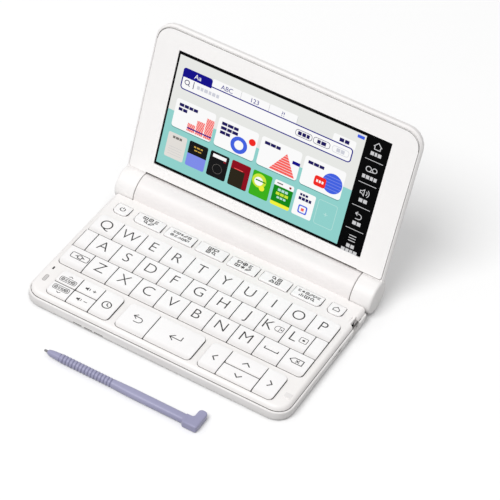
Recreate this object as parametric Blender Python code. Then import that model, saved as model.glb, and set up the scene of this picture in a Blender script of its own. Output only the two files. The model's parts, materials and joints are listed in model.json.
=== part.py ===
# Electronic dictionary: a clamshell with a letter keyboard, a battery barrel on the hinge line,
# a lid with a touch display, and a stylus lying in front.
# Metres, +Z up, +X to the user's right, +Y away from the user.
# The origin is the middle of the case's flat underside. The lid stands at its reading angle.

import math

import bmesh
import bpy
from mathutils import Matrix, Vector

# Running clearances and walls
CLEARANCE = 0.0003
OVERRUN = 0.002
SHELL_WALL = 0.0015

# Heights through the keyboard, from the underside up
FEET_HEIGHT = 0.0005
FLOOR_THICKNESS = 0.0011
SILO_FLOOR = 0.0009
SILO_PLAY = 0.00025
SILO_ROOF = 0.00035
MEMBRANE_THICKNESS = 0.00035
DOME_HEIGHT = 0.00025
KEY_TRAVEL = 0.0006
KEY_THICKNESS = 0.0016
KEY_RISE = 0.0009
DECK_ROOM = 0.00065
BOARD_THICKNESS = 0.0012

# Keyboard layout, from the front edge to the barrel and from left to right
FRONT_MARGIN = 0.0036
CONTROL_DEPTH = 0.0184
CONTROL_GAP = 0.0032
KEY_GAP = 0.0004
KEY_PITCH = 0.01375
ROW_PITCH = 0.01434
FUNCTION_GAP = 0.0050
FUNCTION_DEPTH = 0.0077
FUNCTION_REAR_RISE = 0.00025
BARREL_MARGIN = 0.00605
LEFT_MARGIN = 0.0041
RIGHT_MARGIN = 0.0050
GROUP_CORNER = 0.0024
KEY_CORNER = 0.0004
KEY_BEVEL = 0.00022
KEY_SLOPE_DROP = 0.00065
GROOVE_DEPTH = 0.0007
DOME_RADIUS = 0.0020
MEMBRANE_MARGIN = 0.0010

# Case shells
CASE_CORNER = 0.0090
REAR_CORNER = 0.0010
LEDGE = 0.0010
UNDERSIDE_INSET = 0.0012
UNDERSIDE_ROUND = 0.0012
SEAM_ROUND = 0.0003
RIM_SLOPE = 0.0019
BOSS_RADIUS = 0.0020
BOARD_MARGIN = 0.0022
FOOT_RADIUS = 0.0040
FOOT_INSET = 0.0110
PORT_DEPTH = 0.0008

# Battery barrel on the hinge line
BARREL_WALL = 0.0011
BARREL_FRONT_WALL = 0.0010
BATTERY_PLAY = 0.00065
BARREL_END_MARGIN = 0.0112
BARREL_END_WALL = 0.0015
HINGE_BAY = 0.0116
BATTERY_WALL = 0.0012
BATTERY_NUB_RADIUS = 0.00275
BATTERY_NUB_LENGTH = 0.0010
KNUCKLE_GAP = 0.0006
ARCH_ANGLE = 3.0
TROUGH_ANGLE = 272.0

# Hinge shafts
SHAFT_RADIUS = 0.0020
SHAFT_COLLAR_RADIUS = 0.0032
SHAFT_COLLAR_LENGTH = 0.0015
SHAFT_REACH = 0.0089

# Lid
LID_ANGLE = 78.0
LID_OVERHANG = 0.0006
LID_SETBACK = 0.0016
LID_DEPTH = 0.00624
LID_CORNER = 0.0100
LID_FOOT = 0.0040
LID_WALL = 0.0019
LID_RIM_DROP = 0.0004
LID_RIM_INSET = 0.0007
LID_BACK_INSET = 0.0034
LID_BACK_SKIN = 0.00104
KNUCKLE_ROUND = 0.0013
PANEL_SETBACK = 0.00036
PANEL_THICKNESS = 0.00134
PANEL_EDGE = 0.0014
PANEL_TOP_EDGE = 0.0017
PANEL_BEVEL = 0.00015
WINDOW_LEFT = 0.0130
WINDOW_RIGHT = 0.0134
WINDOW_BOTTOM = 0.0070
WINDOW_TOP = 0.0099
GLASS_SETBACK = 0.0002
DISPLAY_FLANGE = 0.0012

# Stylus
STYLUS_LENGTH = 0.0860
STYLUS_WIDTH = 0.0049
STYLUS_HEIGHT = 0.0041
STYLUS_NECK = 0.0034
STYLUS_GRIP = 0.0041
STYLUS_TIP = 0.0009
STYLUS_TIP_LENGTH = 0.0018
STYLUS_CONE_LENGTH = 0.0079
STYLUS_RIBS = 9
STYLUS_RIB_PITCH = 0.0030
STYLUS_RIB_DEPTH = 0.0002
STYLUS_TAPER_LENGTH = 0.0080
STYLUS_BLOCK_LENGTH = 0.0086
STYLUS_BLOCK_REACH = 0.0012
STYLUS_HOOK_LENGTH = 0.0047
STYLUS_HOOK_REACH = 0.0086
STYLUS_HOOK_ROUND = 0.0012
STYLUS_HEAD_BEVEL = 0.0005
STYLUS_AHEAD = 0.0241
STYLUS_LEFT = 0.0286

# Stylus silo, which opens in the right side
SILO_TO_HINGE = 0.0205
SILO_LENGTH = 0.0913
SILO_WALL = 0.0007
NOTCH_LENGTH = 0.0065
NOTCH_DEPTH = 0.0027
NOTCH_WALL = 0.0015
DENT_DEPTH = 0.0012
DENT_REACH = 0.0014

# Small details of the deck
SLOT_WIDTH = 0.0008
SLOT_LENGTH = 0.0022
PILL_WIDTH = 0.0020
PILL_LENGTH = 0.0050
PAD_SIZE = 0.0036
PAD_HEIGHT = 0.0003
DETAIL_DEPTH = 0.0005

# Numbers of copies and of facets
LETTER_ROWS = ("q w e r t y u i o p", "a s d f g h j k l", "shift z x c v b n m space delete")
FUNCTION_KEYS = 6
CORNER_STEPS = 5
ARC_STEPS = 20
SWING_SIDES = 96
KNUCKLE_SIDES = 64
SHAFT_SIDES = 24
BATTERY_SIDES = 32
DOME_SIDES = 8
STYLUS_SIDES = 16
FOOT_SIDES = 20
SMOOTH_ANGLE = 35.0
RIGHT_ANGLE = 90.0

# Shares, chosen by hand, of the sizes that they follow
HALF_SHARE = 0.5
LEAST_ROUND_SHARE = 0.2
SEAM_SHARE = 0.66
BOTTOM_RING_SHARES = ((0.0, 1.0), (0.42, 0.29), (1.0, 0.0))
RIM_RING_SHARES = ((0.0, 0.0), (0.47, 0.13), (0.80, 0.42), (0.96, 0.74), (1.0, 1.0))
LID_RING_SHARES = ((0.29, 0.0), (0.58, 0.03), (0.80, 0.20), (0.94, 0.56), (1.0, 1.0))
LETTER_SLOPE_SHARE = 0.26
CONTROL_SLOPE_SHARE = 0.16
POWER_SHARES = (0.0196, 0.0793)
HOME_SHARES = (0.9142, 0.9731)
FUNCTION_START_SHARE = 0.1076
FUNCTION_PITCH_SHARE = 0.1324
FUNCTION_WIDTH_SHARE = 0.1155
LOOK_UP_COLUMN_SHARES = (0.0465, 0.1324, 0.2233, 0.3047)
CENTRE_COLUMN_SHARES = (0.3302, 0.4502, 0.6385)
ARROW_COLUMN_SHARES = (0.6640, 0.7425, 0.8851, 0.9651)
CONTROL_SPLIT_SHARE = 0.49
BOSS_SHARES = ((-0.88, 0.08), (0.0, 0.08), (0.88, 0.08), (-0.88, 0.92), (0.0, 0.92), (0.88, 0.92))
CHIP_SHARES = ((-0.35, 0.35, 0.16, 0.20), (0.25, 0.30, 0.10, 0.14), (0.55, 0.62, 0.08, 0.12))
CHIP_HEIGHT_SHARE = 0.75
SIDE_PORT_SHARES = ((0.788, 0.051, 0.467, 0.09), (0.660, 0.046, 0.654, 0.30), (0.602, 0.057, 0.56, 0.26))
FRONT_SLIT_SHARES = ((0.219, 0.033), (0.261, 0.031), (0.301, 0.034))
FRONT_SLIT_HEIGHT_SHARES = (0.26, 0.12)
SLOT_SHARES = (0.035, 0.237)
PILL_SHARES = (0.038, 0.144)
PAD_SHARES = (0.966, 0.133)
STYLUS_SQUARE_SHARE = 0.72
STYLUS_TIP_END_SHARE = 0.6

# Finishes: colour, roughness and metallic value
SHELL_FINISH = ((0.90, 0.89, 0.88), 0.42, 0.0)
DECK_FINISH = ((0.93, 0.92, 0.91), 0.40, 0.0)
KEY_FINISH = ((0.95, 0.95, 0.94), 0.38, 0.0)
RUBBER_FINISH = ((0.62, 0.63, 0.64), 0.70, 0.0)
BOARD_FINISH = ((0.05, 0.30, 0.16), 0.50, 0.0)
BATTERY_FINISH = ((0.10, 0.12, 0.20), 0.30, 0.6)
STEEL_FINISH = ((0.60, 0.60, 0.62), 0.30, 1.0)
GLASS_FINISH = ((0.02, 0.02, 0.03), 0.12, 0.0)
STYLUS_FINISH = ((0.45, 0.45, 0.68), 0.35, 0.0)

# Heights worked out from the sizes above
silo_width = STYLUS_WIDTH + SILO_PLAY
silo_roof_z = SILO_FLOOR + STYLUS_HEIGHT + SILO_PLAY
silo_top_z = silo_roof_z + SILO_ROOF
membrane_z = silo_top_z + CLEARANCE
membrane_top_z = membrane_z + MEMBRANE_THICKNESS
key_z = membrane_top_z + DOME_HEIGHT + CLEARANCE + KEY_TRAVEL
key_top_z = key_z + KEY_THICKNESS
deck_z = key_top_z - KEY_RISE
deck_underside_z = membrane_top_z + DECK_ROOM
seam_z = deck_z * SEAM_SHARE
rim_z = seam_z + CLEARANCE
board_z = membrane_z - CLEARANCE - BOARD_THICKNESS

# The barrel and the hinge line
hinge_z = key_top_z
barrel_radius = hinge_z
barrel_bore = barrel_radius - BARREL_WALL
battery_radius = barrel_bore - BATTERY_PLAY
crease_reach = math.sqrt(barrel_radius**2 - (hinge_z - deck_z) ** 2)
crease_angle = 2 * RIGHT_ANGLE + math.degrees(math.asin((hinge_z - deck_z) / barrel_radius))
rim_angle = 2 * RIGHT_ANGLE + math.degrees(math.asin((hinge_z - rim_z) / barrel_bore))
seam_angle = 2 * RIGHT_ANGLE + math.degrees(math.asin((hinge_z - seam_z) / barrel_bore))
cover_gap_angle = math.degrees(CLEARANCE / barrel_bore)

# The plan of the case
columns = len(LETTER_ROWS[0].split())
block_width = columns * KEY_PITCH
block_depth = len(LETTER_ROWS) * ROW_PITCH
case_side = (LEFT_MARGIN + block_width + RIGHT_MARGIN) * HALF_SHARE
deck_depth = FRONT_MARGIN + CONTROL_DEPTH + CONTROL_GAP + block_depth
deck_depth += FUNCTION_GAP + FUNCTION_DEPTH + BARREL_MARGIN
case_front = -(deck_depth + crease_reach + barrel_radius) * HALF_SHARE
control_front = case_front + FRONT_MARGIN
block_front = control_front + CONTROL_DEPTH + CONTROL_GAP
function_front = block_front + block_depth + FUNCTION_GAP
function_rear = function_front + FUNCTION_DEPTH
crease_y = case_front + deck_depth
hinge_y = crease_y + crease_reach
case_rear = hinge_y - barrel_radius - CLEARANCE
block_left = -case_side + LEFT_MARGIN
block_right = block_left + block_width
barrel_side = case_side - BARREL_END_MARGIN
barrel_front = hinge_y - math.sqrt(barrel_bore**2 - (hinge_z - seam_z) ** 2) - BARREL_FRONT_WALL
battery_length = barrel_side - HINGE_BAY
knuckle_side = barrel_side + KNUCKLE_GAP
silo_y = hinge_y - SILO_TO_HINGE
notch_side = case_side - NOTCH_DEPTH
board_side = case_side - SHELL_WALL - BOARD_MARGIN
board_front = case_front + SHELL_WALL + BOARD_MARGIN
board_rear = silo_y - silo_width * HALF_SHARE - SILO_WALL - BOARD_MARGIN

# The lid, measured from the hinge line: X across, Y up the lid, Z out of its face
lid_side = case_side + LID_OVERHANG
lid_top = hinge_y - case_front - LID_SETBACK
lid_swing = barrel_radius + CLEARANCE
lid_rim = PANEL_SETBACK + LID_RIM_DROP
panel_side = lid_side - PANEL_EDGE
panel_foot = lid_swing + CLEARANCE
panel_top = lid_top - PANEL_TOP_EDGE
panel_back = PANEL_SETBACK + PANEL_THICKNESS
window_box = (-panel_side + WINDOW_LEFT, panel_side - WINDOW_RIGHT,
              panel_foot + WINDOW_BOTTOM, panel_top - WINDOW_TOP)


def arc(centre, radius, start, end, steps):
    """Points along an arc, from start to end in degrees."""
    points = []
    for step in range(steps + 1):
        angle = math.radians(start + (end - start) * step / steps)
        points.append((centre[0] + radius * math.cos(angle), centre[1] + radius * math.sin(angle)))
    return points


def rounded_outline(box, radii, inset=0.0):
    """A rectangle with rounded corners: front left, front right, rear right, rear left."""
    left, right, front, rear = box[0] + inset, box[1] - inset, box[2] + inset, box[3] - inset
    corners = ((left, front, 1, 1), (right, front, -1, 1), (right, rear, -1, -1), (left, rear, 1, -1))
    points = []
    for quarter, ((x, y, across, along), radius) in enumerate(zip(corners, radii)):
        steps = CORNER_STEPS if radius > REAR_CORNER else 1
        radius = max(radius - inset, radius * LEAST_ROUND_SHARE)
        start = RIGHT_ANGLE * (quarter + 2)
        points += arc((x + across * radius, y + along * radius), radius, start, start + RIGHT_ANGLE, steps)
    return points


def loft(name, rings):
    """A closed solid through rings with equal numbers of points, flat at both ends."""
    mesh = bpy.data.meshes.new(name)
    work = bmesh.new()
    loops = [[work.verts.new(point) for point in ring] for ring in rings]
    count = len(loops[0])
    for low, high in zip(loops, loops[1:]):
        for index in range(count):
            after = (index + 1) % count
            work.faces.new((low[index], low[after], high[after], high[index]))
    work.faces.new(loops[0][::-1])
    work.faces.new(loops[-1])
    bmesh.ops.recalc_face_normals(work, faces=work.faces)
    work.to_mesh(mesh)
    work.free()
    return place_in_scene(name, mesh)


def place_in_scene(name, mesh):
    """An object for a mesh, linked to the scene."""
    body = bpy.data.objects.new(name, mesh)
    bpy.context.scene.collection.objects.link(body)
    return body


def plate(name, outline, low, high):
    """An outline in X and Y, raised from low to high."""
    return loft(name, [[(x, y, z) for x, y in outline] for z in (low, high)])


def extrusion(name, profile, left, right):
    """A profile in Y and Z, carried along X."""
    return loft(name, [[(x, y, z) for y, z in profile] for x in (left, right)])


def block(name, x0, x1, y0, y1, z0, z1):
    """A plain block between six faces."""
    return plate(name, [(x0, y0), (x1, y0), (x1, y1), (x0, y1)], z0, z1)


def turned(name, stations, centre, sides):
    """A body turned about a line along X, through stations of place and radius."""
    rings = []
    for x, radius in stations:
        circle = arc(centre, radius, 0.0, 4 * RIGHT_ANGLE, sides)[:-1]
        rings.append([(x, y, z) for y, z in circle])
    return loft(name, rings)


def discard(body):
    """Remove an object and its mesh."""
    mesh = body.data
    bpy.data.objects.remove(body)
    bpy.data.meshes.remove(mesh)


def gather(name, tools):
    """One object from several tools that stand apart, so that one Boolean uses them all."""
    mesh = bpy.data.meshes.new(name)
    work = bmesh.new()
    for tool in tools:
        work.from_mesh(tool.data)
        discard(tool)
    work.to_mesh(mesh)
    work.free()
    return place_in_scene(name, mesh)


def combine(body, tool, operation):
    """Join a tool to a body, or cut it out, and remove the tool."""
    step = body.modifiers.new(operation.lower(), "BOOLEAN")
    step.operation = operation
    step.object = tool
    evaluated = body.evaluated_get(bpy.context.evaluated_depsgraph_get())
    result = bpy.data.meshes.new_from_object(evaluated)
    body.modifiers.clear()
    old = body.data
    body.data = result
    bpy.data.meshes.remove(old)
    discard(tool)


def cut(body, *tools):
    """Cut tools that stand apart out of a body."""
    combine(body, gather("cutter", tools), "DIFFERENCE")


def join(body, *tools):
    """Join tools that stand apart to a body."""
    combine(body, gather("addition", tools), "UNION")


def dress(body, finish, parent=None):
    """Give a body its material, smooth its round faces and hang it on its parent."""
    colour, roughness, metallic = finish
    material = bpy.data.materials.new(body.name)
    material.use_nodes = True
    shader = material.node_tree.nodes["Principled BSDF"]
    shader.inputs["Base Color"].default_value = (*colour, 1.0)
    shader.inputs["Roughness"].default_value = roughness
    shader.inputs["Metallic"].default_value = metallic
    body.data.materials.clear()
    body.data.materials.append(material)
    body.data.shade_smooth()
    body.data.set_sharp_from_angle(angle=math.radians(SMOOTH_ANGLE))
    body.parent = parent


def put_origin(body, place):
    """Put an object's origin at a place and leave its shape where it is."""
    body.data.transform(Matrix.Translation(-Vector(place)))
    body.location = place


def tray_outline(side, front, rear, middle_side, middle_rear, corner):
    """The inside of a shell, whose middle reaches further back than its ends."""
    points = arc((-side + corner, front + corner), corner, 2 * RIGHT_ANGLE, 3 * RIGHT_ANGLE, CORNER_STEPS)
    points += arc((side - corner, front + corner), corner, 3 * RIGHT_ANGLE, 4 * RIGHT_ANGLE, CORNER_STEPS)
    points += [(side, rear), (middle_side, rear), (middle_side, middle_rear)]
    points += [(-middle_side, middle_rear), (-middle_side, rear), (-side, rear)]
    return points


def key_places():
    """Each key: name, box, corner radii, share of its depth that slopes, and kind."""
    keys = []
    gap = KEY_GAP * HALF_SHARE
    for row, names in enumerate(row.split() for row in LETTER_ROWS):
        front = block_front + (len(LETTER_ROWS) - 1 - row) * ROW_PITCH
        left = block_left + (columns - len(names)) * KEY_PITCH * HALF_SHARE
        for column, name in enumerate(names):
            x = left + column * KEY_PITCH
            radii = [KEY_CORNER] * 4
            if row == 0 and column in (0, len(names) - 1):
                radii[3 if column == 0 else 2] = GROUP_CORNER
            if row == len(LETTER_ROWS) - 1 and column in (0, len(names) - 1):
                radii[0 if column == 0 else 1] = GROUP_CORNER
            box = (x + gap, x + KEY_PITCH - gap, front + gap, front + ROW_PITCH - gap)
            keys.append(("key_" + name, box, radii, LETTER_SLOPE_SHARE, "letter"))
    keys += function_places()
    keys += control_places(gap)
    return keys


def function_places():
    """The top row: power, six function keys and home, which rise towards the user."""
    places = [("key_power", POWER_SHARES, (True, True))]
    for index in range(FUNCTION_KEYS):
        start = FUNCTION_START_SHARE + index * FUNCTION_PITCH_SHARE
        ends = (index == 0, index == FUNCTION_KEYS - 1)
        places.append((f"key_func_{index + 1}", (start, start + FUNCTION_WIDTH_SHARE), ends))
    places.append(("key_home", HOME_SHARES, (True, True)))
    keys = []
    for name, shares, ends in places:
        box = (block_left + shares[0] * block_width, block_left + shares[1] * block_width,
               function_front, function_rear)
        radii = [GROUP_CORNER if end else KEY_CORNER for end in ends] + [KEY_CORNER] * 2
        keys.append((name, box, radii, 1.0, "function"))
    return keys


def control_places(gap):
    """The front row: three groups of keys side by side, some of them split in two."""
    groups = (
        (LOOK_UP_COLUMN_SHARES, (("page_up", "page_down"), ("volume_up", "volume_down"), ("history",))),
        (CENTRE_COLUMN_SHARES, (("back",), ("enter",))),
        (ARROW_COLUMN_SHARES, (("left",), ("up", "down"), ("right",))),
    )
    split = control_front + CONTROL_DEPTH * CONTROL_SPLIT_SHARE
    keys = []
    for shares, group in groups:
        for column, names in enumerate(group):
            left = block_left + shares[column] * block_width + gap
            right = block_left + shares[column + 1] * block_width - gap
            first, last = column == 0, column == len(group) - 1
            for place, name in enumerate(names):
                rear, front = place == 0, place == len(names) - 1
                radii = [KEY_CORNER] * 4
                outer_corners = ((first, front), (last, front), (last, rear), (first, rear))
                for corner, (side, end) in enumerate(outer_corners):
                    radii[corner] = GROUP_CORNER if side and end else KEY_CORNER
                box = (left, right, control_front + gap if front else split + gap,
                       control_front + CONTROL_DEPTH - gap if rear else split - gap)
                keys.append(("key_" + name, box, radii, CONTROL_SLOPE_SHARE, "control"))
    return keys


def key_height(kind, share, slope_share):
    """The top of a key at a share of its depth, from its front edge to its rear edge."""
    if kind == "function":
        return key_top_z - (KEY_RISE - FUNCTION_REAR_RISE) * share
    return key_top_z - KEY_SLOPE_DROP * max(0.0, 1.0 - share / slope_share)


def key_cap(name, box, radii, slope_share, kind, foot=key_z):
    """A key cap with bevelled edges, whose flat top turns down along the front."""
    front, depth = box[2], box[3] - box[2]
    rings = []
    for inset, drop in ((0.0, None), (0.0, KEY_BEVEL), (KEY_BEVEL, 0.0)):
        outline = rounded_outline(box, radii, inset)
        outline = add_crease(outline, front + depth * slope_share) if kind != "function" else outline
        ring = []
        for x, y in outline:
            z = foot if drop is None else key_height(kind, (y - front) / depth, slope_share) - drop
            ring.append((x, y, z))
        rings.append(ring)
    return loft(name, rings)


def add_crease(outline, y):
    """Put a point on each side of an outline, where the top of the key turns down."""
    points = []
    for here, after in zip(outline, outline[1:] + outline[:1]):
        points.append(here)
        if (here[1] - y) * (after[1] - y) < 0:
            share = (y - here[1]) / (after[1] - here[1])
            points.append((here[0] + (after[0] - here[0]) * share, y))
    return points


def grow(box, margin):
    """A box made larger on all four sides."""
    return (box[0] - margin, box[1] + margin, box[2] - margin, box[3] + margin)


def group_box(keys, names):
    """The box round several keys."""
    boxes = [box for name, box, *_ in keys if name in names]
    return (min(b[0] for b in boxes), max(b[1] for b in boxes),
            min(b[2] for b in boxes), max(b[3] for b in boxes))


def letter_opening():
    """The outline of the opening that all three letter rows share."""
    margin = CLEARANCE - KEY_GAP * HALF_SHARE
    box = grow((block_left, block_right, block_front, block_front + block_depth), margin)
    return rounded_outline(box, [GROUP_CORNER + margin] * 4)


def deck_openings(keys):
    """Cutters for the deck: the letter block, each function key and each group of the front row."""
    low, high = deck_underside_z - OVERRUN, deck_z + OVERRUN
    cutters = [plate("letters", letter_opening(), low, high)]
    corner = GROUP_CORNER + CLEARANCE
    for name, box, radii, _, kind in keys:
        if kind == "function":
            outline = rounded_outline(grow(box, CLEARANCE), [radius + CLEARANCE for radius in radii])
            cutters.append(plate(name, outline, low, high))
    for names in (("key_page_up", "key_history", "key_page_down"), ("key_back", "key_enter"),
                  ("key_left", "key_right")):
        box = grow(group_box(keys, names), CLEARANCE)
        cutters.append(plate(names[0], rounded_outline(box, [corner] * 4), low, high))
    return cutters


def filler_plinths():
    """A shelf in the opening at each end of the middle letter row, which carries the fixed half tile."""
    margin = CLEARANCE - KEY_GAP * HALF_SHARE
    front, rear = block_front + ROW_PITCH + margin, block_front + 2 * ROW_PITCH - margin
    low, high = deck_underside_z + CLEARANCE * HALF_SHARE, deck_z - GROOVE_DEPTH
    inner = KEY_PITCH * HALF_SHARE - margin
    return [block("plinth_left", block_left - SHELL_WALL, block_left + inner, front, rear, low, high),
            block("plinth_right", block_right - inner, block_right + SHELL_WALL, front, rear, low, high)]


def filler_tiles():
    """The fixed half tiles at both ends of the middle letter row."""
    gap = KEY_GAP * HALF_SHARE
    front, rear = block_front + ROW_PITCH + gap, block_front + 2 * ROW_PITCH - gap
    foot = deck_z - GROOVE_DEPTH - CLEARANCE * HALF_SHARE
    tiles = []
    for name, left in (("tile_left", block_left), ("tile_right", block_right - KEY_PITCH * HALF_SHARE)):
        box = (left + gap, left + KEY_PITCH * HALF_SHARE - gap, front, rear)
        tiles.append(key_cap(name, box, [KEY_CORNER] * 4, LETTER_SLOPE_SHARE, "letter", foot))
    return tiles


def side_ports():
    """Cutters for the sockets in the right side and the slits in the front edge."""
    cutters = []
    for index, (along, length, up, height) in enumerate(SIDE_PORT_SHARES):
        y, z = case_front + along * deck_depth, up * seam_z
        half_length, half_height = length * deck_depth * HALF_SHARE, height * seam_z * HALF_SHARE
        cutters.append(block(f"port_{index}", case_side - PORT_DEPTH, case_side + OVERRUN,
                             y - half_length, y + half_length, z - half_height, z + half_height))
    up, height = FRONT_SLIT_HEIGHT_SHARES
    z, half_height = up * seam_z, height * seam_z * HALF_SHARE
    for index, (across, length) in enumerate(FRONT_SLIT_SHARES):
        x = (across - HALF_SHARE) * 2 * case_side
        half_length = length * case_side
        cutters.append(block(f"slit_{index}", x - half_length, x + half_length,
                             case_front - OVERRUN, case_front + PORT_DEPTH, z - half_height, z + half_height))
    return cutters


def notch_block(name, wall, low, high):
    """A block round the notch in the right side, grown by a wall on its three inner sides."""
    half = NOTCH_LENGTH * HALF_SHARE + wall
    outer = case_side + OVERRUN if not wall else case_side - LEDGE - SHELL_WALL * HALF_SHARE
    return block(name, notch_side - wall, outer, silo_y - half, silo_y + half, low, high)


def make_bottom_case():
    """The lower shell: floor, walls, skirt under the barrel, bosses, feet and the stylus silo."""
    radii = (CASE_CORNER, CASE_CORNER, REAR_CORNER, REAR_CORNER)
    box = (-case_side, case_side, case_front, case_rear)
    levels = [(z * UNDERSIDE_ROUND, inset * UNDERSIDE_INSET) for z, inset in BOTTOM_RING_SHARES]
    levels += [(seam_z - SEAM_ROUND, 0.0), (seam_z, SEAM_ROUND)]
    body = loft("bottom_case", [[(x, y, z) for x, y in rounded_outline(box, radii, inset)]
                                for z, inset in levels])
    centre = (hinge_y, hinge_z)
    root = case_rear - UNDERSIDE_INSET - OVERRUN
    skirt = arc(centre, barrel_bore, TROUGH_ANGLE, seam_angle, ARC_STEPS)
    skirt = [(root, seam_z), (root, 0.0), (skirt[0][0], 0.0)] + skirt
    join(body, extrusion("skirt", skirt, -barrel_side, barrel_side))
    inside = tray_outline(case_side - SHELL_WALL, case_front + SHELL_WALL, case_rear - SHELL_WALL,
                          barrel_side - BARREL_END_WALL, barrel_front, CASE_CORNER - SHELL_WALL)
    cut(body, plate("tray", inside, FLOOR_THICKNESS, seam_z + OVERRUN))

    half = silo_width * HALF_SHARE
    silo_end = case_side - SILO_LENGTH
    join(body, notch_block("notch_wall", NOTCH_WALL, FLOOR_THICKNESS * HALF_SHARE, seam_z - SEAM_ROUND))
    join(body, block("silo", silo_end - SILO_WALL, notch_side, silo_y - half - SILO_WALL,
                     silo_y + half + SILO_WALL, FLOOR_THICKNESS * HALF_SHARE, silo_top_z))
    cut(body, block("bore", silo_end, case_side + OVERRUN, silo_y - half, silo_y + half,
                    SILO_FLOOR, silo_roof_z))
    cut(body, notch_block("notch", 0.0, SILO_FLOOR, silo_top_z + OVERRUN))

    bosses = []
    for index, (across, along) in enumerate(BOSS_SHARES):
        place = (across * board_side, board_front + along * (board_rear - board_front))
        outline = arc(place, BOSS_RADIUS, 0.0, 4 * RIGHT_ANGLE, FOOT_SIDES)[:-1]
        bosses.append(plate(f"boss_{index}", outline, FLOOR_THICKNESS * HALF_SHARE, board_z - CLEARANCE))
    join(body, *bosses)
    feet = []
    for x in (-case_side + FOOT_INSET, case_side - FOOT_INSET):
        for y in (case_front + FOOT_INSET, case_rear - FOOT_INSET):
            outline = arc((x, y), FOOT_RADIUS, 0.0, 4 * RIGHT_ANGLE, FOOT_SIDES)[:-1]
            feet.append(plate("foot", outline, -FEET_HEIGHT, FLOOR_THICKNESS * HALF_SHARE))
    join(body, *feet)
    cut(body, *side_ports())
    dress(body, SHELL_FINISH)


def barrel_wall(name, left, right):
    """A wall across the barrel: in the arch of the top case, clear of the skirt and the cover."""
    centre = (hinge_y, hinge_z)
    seat = (barrel_radius + barrel_bore) * HALF_SHARE
    clear = barrel_bore - CLEARANCE
    profile = arc(centre, seat, ARCH_ANGLE + cover_gap_angle, rim_angle - cover_gap_angle, ARC_STEPS)
    profile += arc(centre, clear, rim_angle - cover_gap_angle, 4 * RIGHT_ANGLE + ARCH_ANGLE, ARC_STEPS)
    return extrusion(name, profile, left, right)


def make_top_case(keys):
    """The upper shell: key deck with its openings, rim, and the arch over the battery barrel."""
    side, front = case_side - LEDGE, case_front + LEDGE
    corner = CASE_CORNER - LEDGE
    radii = (corner, corner, REAR_CORNER, REAR_CORNER)
    rings = []
    for up, inward in RIM_RING_SHARES:
        inset = inward * RIM_SLOPE
        outline = rounded_outline((-side, side, front, case_rear + inset), radii, inset)
        rings.append([(x, y, rim_z + up * (deck_z - rim_z)) for x, y in outline])
    body = loft("top_case", rings)
    centre = (hinge_y, hinge_z)
    root = case_rear - OVERRUN
    arch = arc(centre, barrel_radius, crease_angle, ARCH_ANGLE, ARC_STEPS)
    arch += arc(centre, barrel_bore, ARCH_ANGLE, rim_angle, ARC_STEPS)
    join(body, extrusion("arch", [(root, rim_z), (root, deck_z)] + arch, -barrel_side, barrel_side))
    inside = tray_outline(side - SHELL_WALL, front + SHELL_WALL, case_rear - SHELL_WALL,
                          barrel_side - BARREL_END_WALL, barrel_front, corner - SHELL_WALL)
    cut(body, plate("tray", inside, rim_z - OVERRUN, deck_underside_z))
    battery_end = battery_length + CLEARANCE
    disc = barrel_side - BARREL_END_WALL
    join(body, barrel_wall("end_left", -barrel_side, -disc), barrel_wall("end_right", disc, barrel_side),
         barrel_wall("stop_left", -battery_end - BATTERY_WALL, -battery_end),
         barrel_wall("stop_right", battery_end, battery_end + BATTERY_WALL))
    hole = SHAFT_RADIUS + CLEARANCE
    inner, outer = disc - OVERRUN, barrel_side + OVERRUN
    cut(body, *[turned("shaft_hole", ((way * inner, hole), (way * outer, hole)), centre, SHAFT_SIDES)
                for way in (-1, 1)])

    cut(body, *deck_openings(keys))
    join(body, *filler_plinths())
    join(body, *filler_tiles())

    plate_middle_z = (deck_underside_z + deck_z) * HALF_SHARE
    join(body, notch_block("notch_wall", NOTCH_WALL, rim_z + CLEARANCE, plate_middle_z))
    cut(body, notch_block("notch", 0.0, rim_z - OVERRUN, deck_z + OVERRUN))
    half = NOTCH_LENGTH * HALF_SHARE
    scoop = [(silo_y - half, deck_z + OVERRUN), (silo_y - half, deck_z),
             (silo_y + half - DENT_DEPTH, deck_z - DENT_DEPTH * HALF_SHARE),
             (silo_y + half, deck_z + OVERRUN)]
    cut(body, extrusion("dent", scoop, notch_side - DENT_REACH, case_side + OVERRUN))
    cut(body, *deck_details())
    x, y = share_place(PAD_SHARES)
    pad = PAD_SIZE * HALF_SHARE
    join(body, block("pad", x - pad, x + pad, y - pad, y + pad, deck_z - DETAIL_DEPTH, deck_z + PAD_HEIGHT))
    dress(body, DECK_FINISH)


def share_place(shares):
    """A place on the deck, from shares of its width and depth."""
    return (shares[0] - HALF_SHARE) * 2 * case_side, case_front + shares[1] * deck_depth


def deck_details():
    """Cutters for the microphone slot and the lamp recess at the left edge of the deck."""
    cutters = []
    for name, shares, width, length in (("slot", SLOT_SHARES, SLOT_WIDTH, SLOT_LENGTH),
                                        ("pill", PILL_SHARES, PILL_WIDTH, PILL_LENGTH)):
        x, y = share_place(shares)
        half_width, half_length = width * HALF_SHARE, length * HALF_SHARE
        box = (x - half_width, x + half_width, y - half_length, y + half_length)
        outline = rounded_outline(box, [half_width] * 4)
        cutters.append(plate(name, outline, deck_z - DETAIL_DEPTH, deck_z + OVERRUN))
    return cutters


def make_keys(keys):
    """One cap for each key, with its origin under its middle."""
    for name, box, radii, slope_share, kind in keys:
        cap = key_cap(name, box, radii, slope_share, kind)
        put_origin(cap, ((box[0] + box[1]) * HALF_SHARE, (box[2] + box[3]) * HALF_SHARE, key_z))
        dress(cap, KEY_FINISH)


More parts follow.
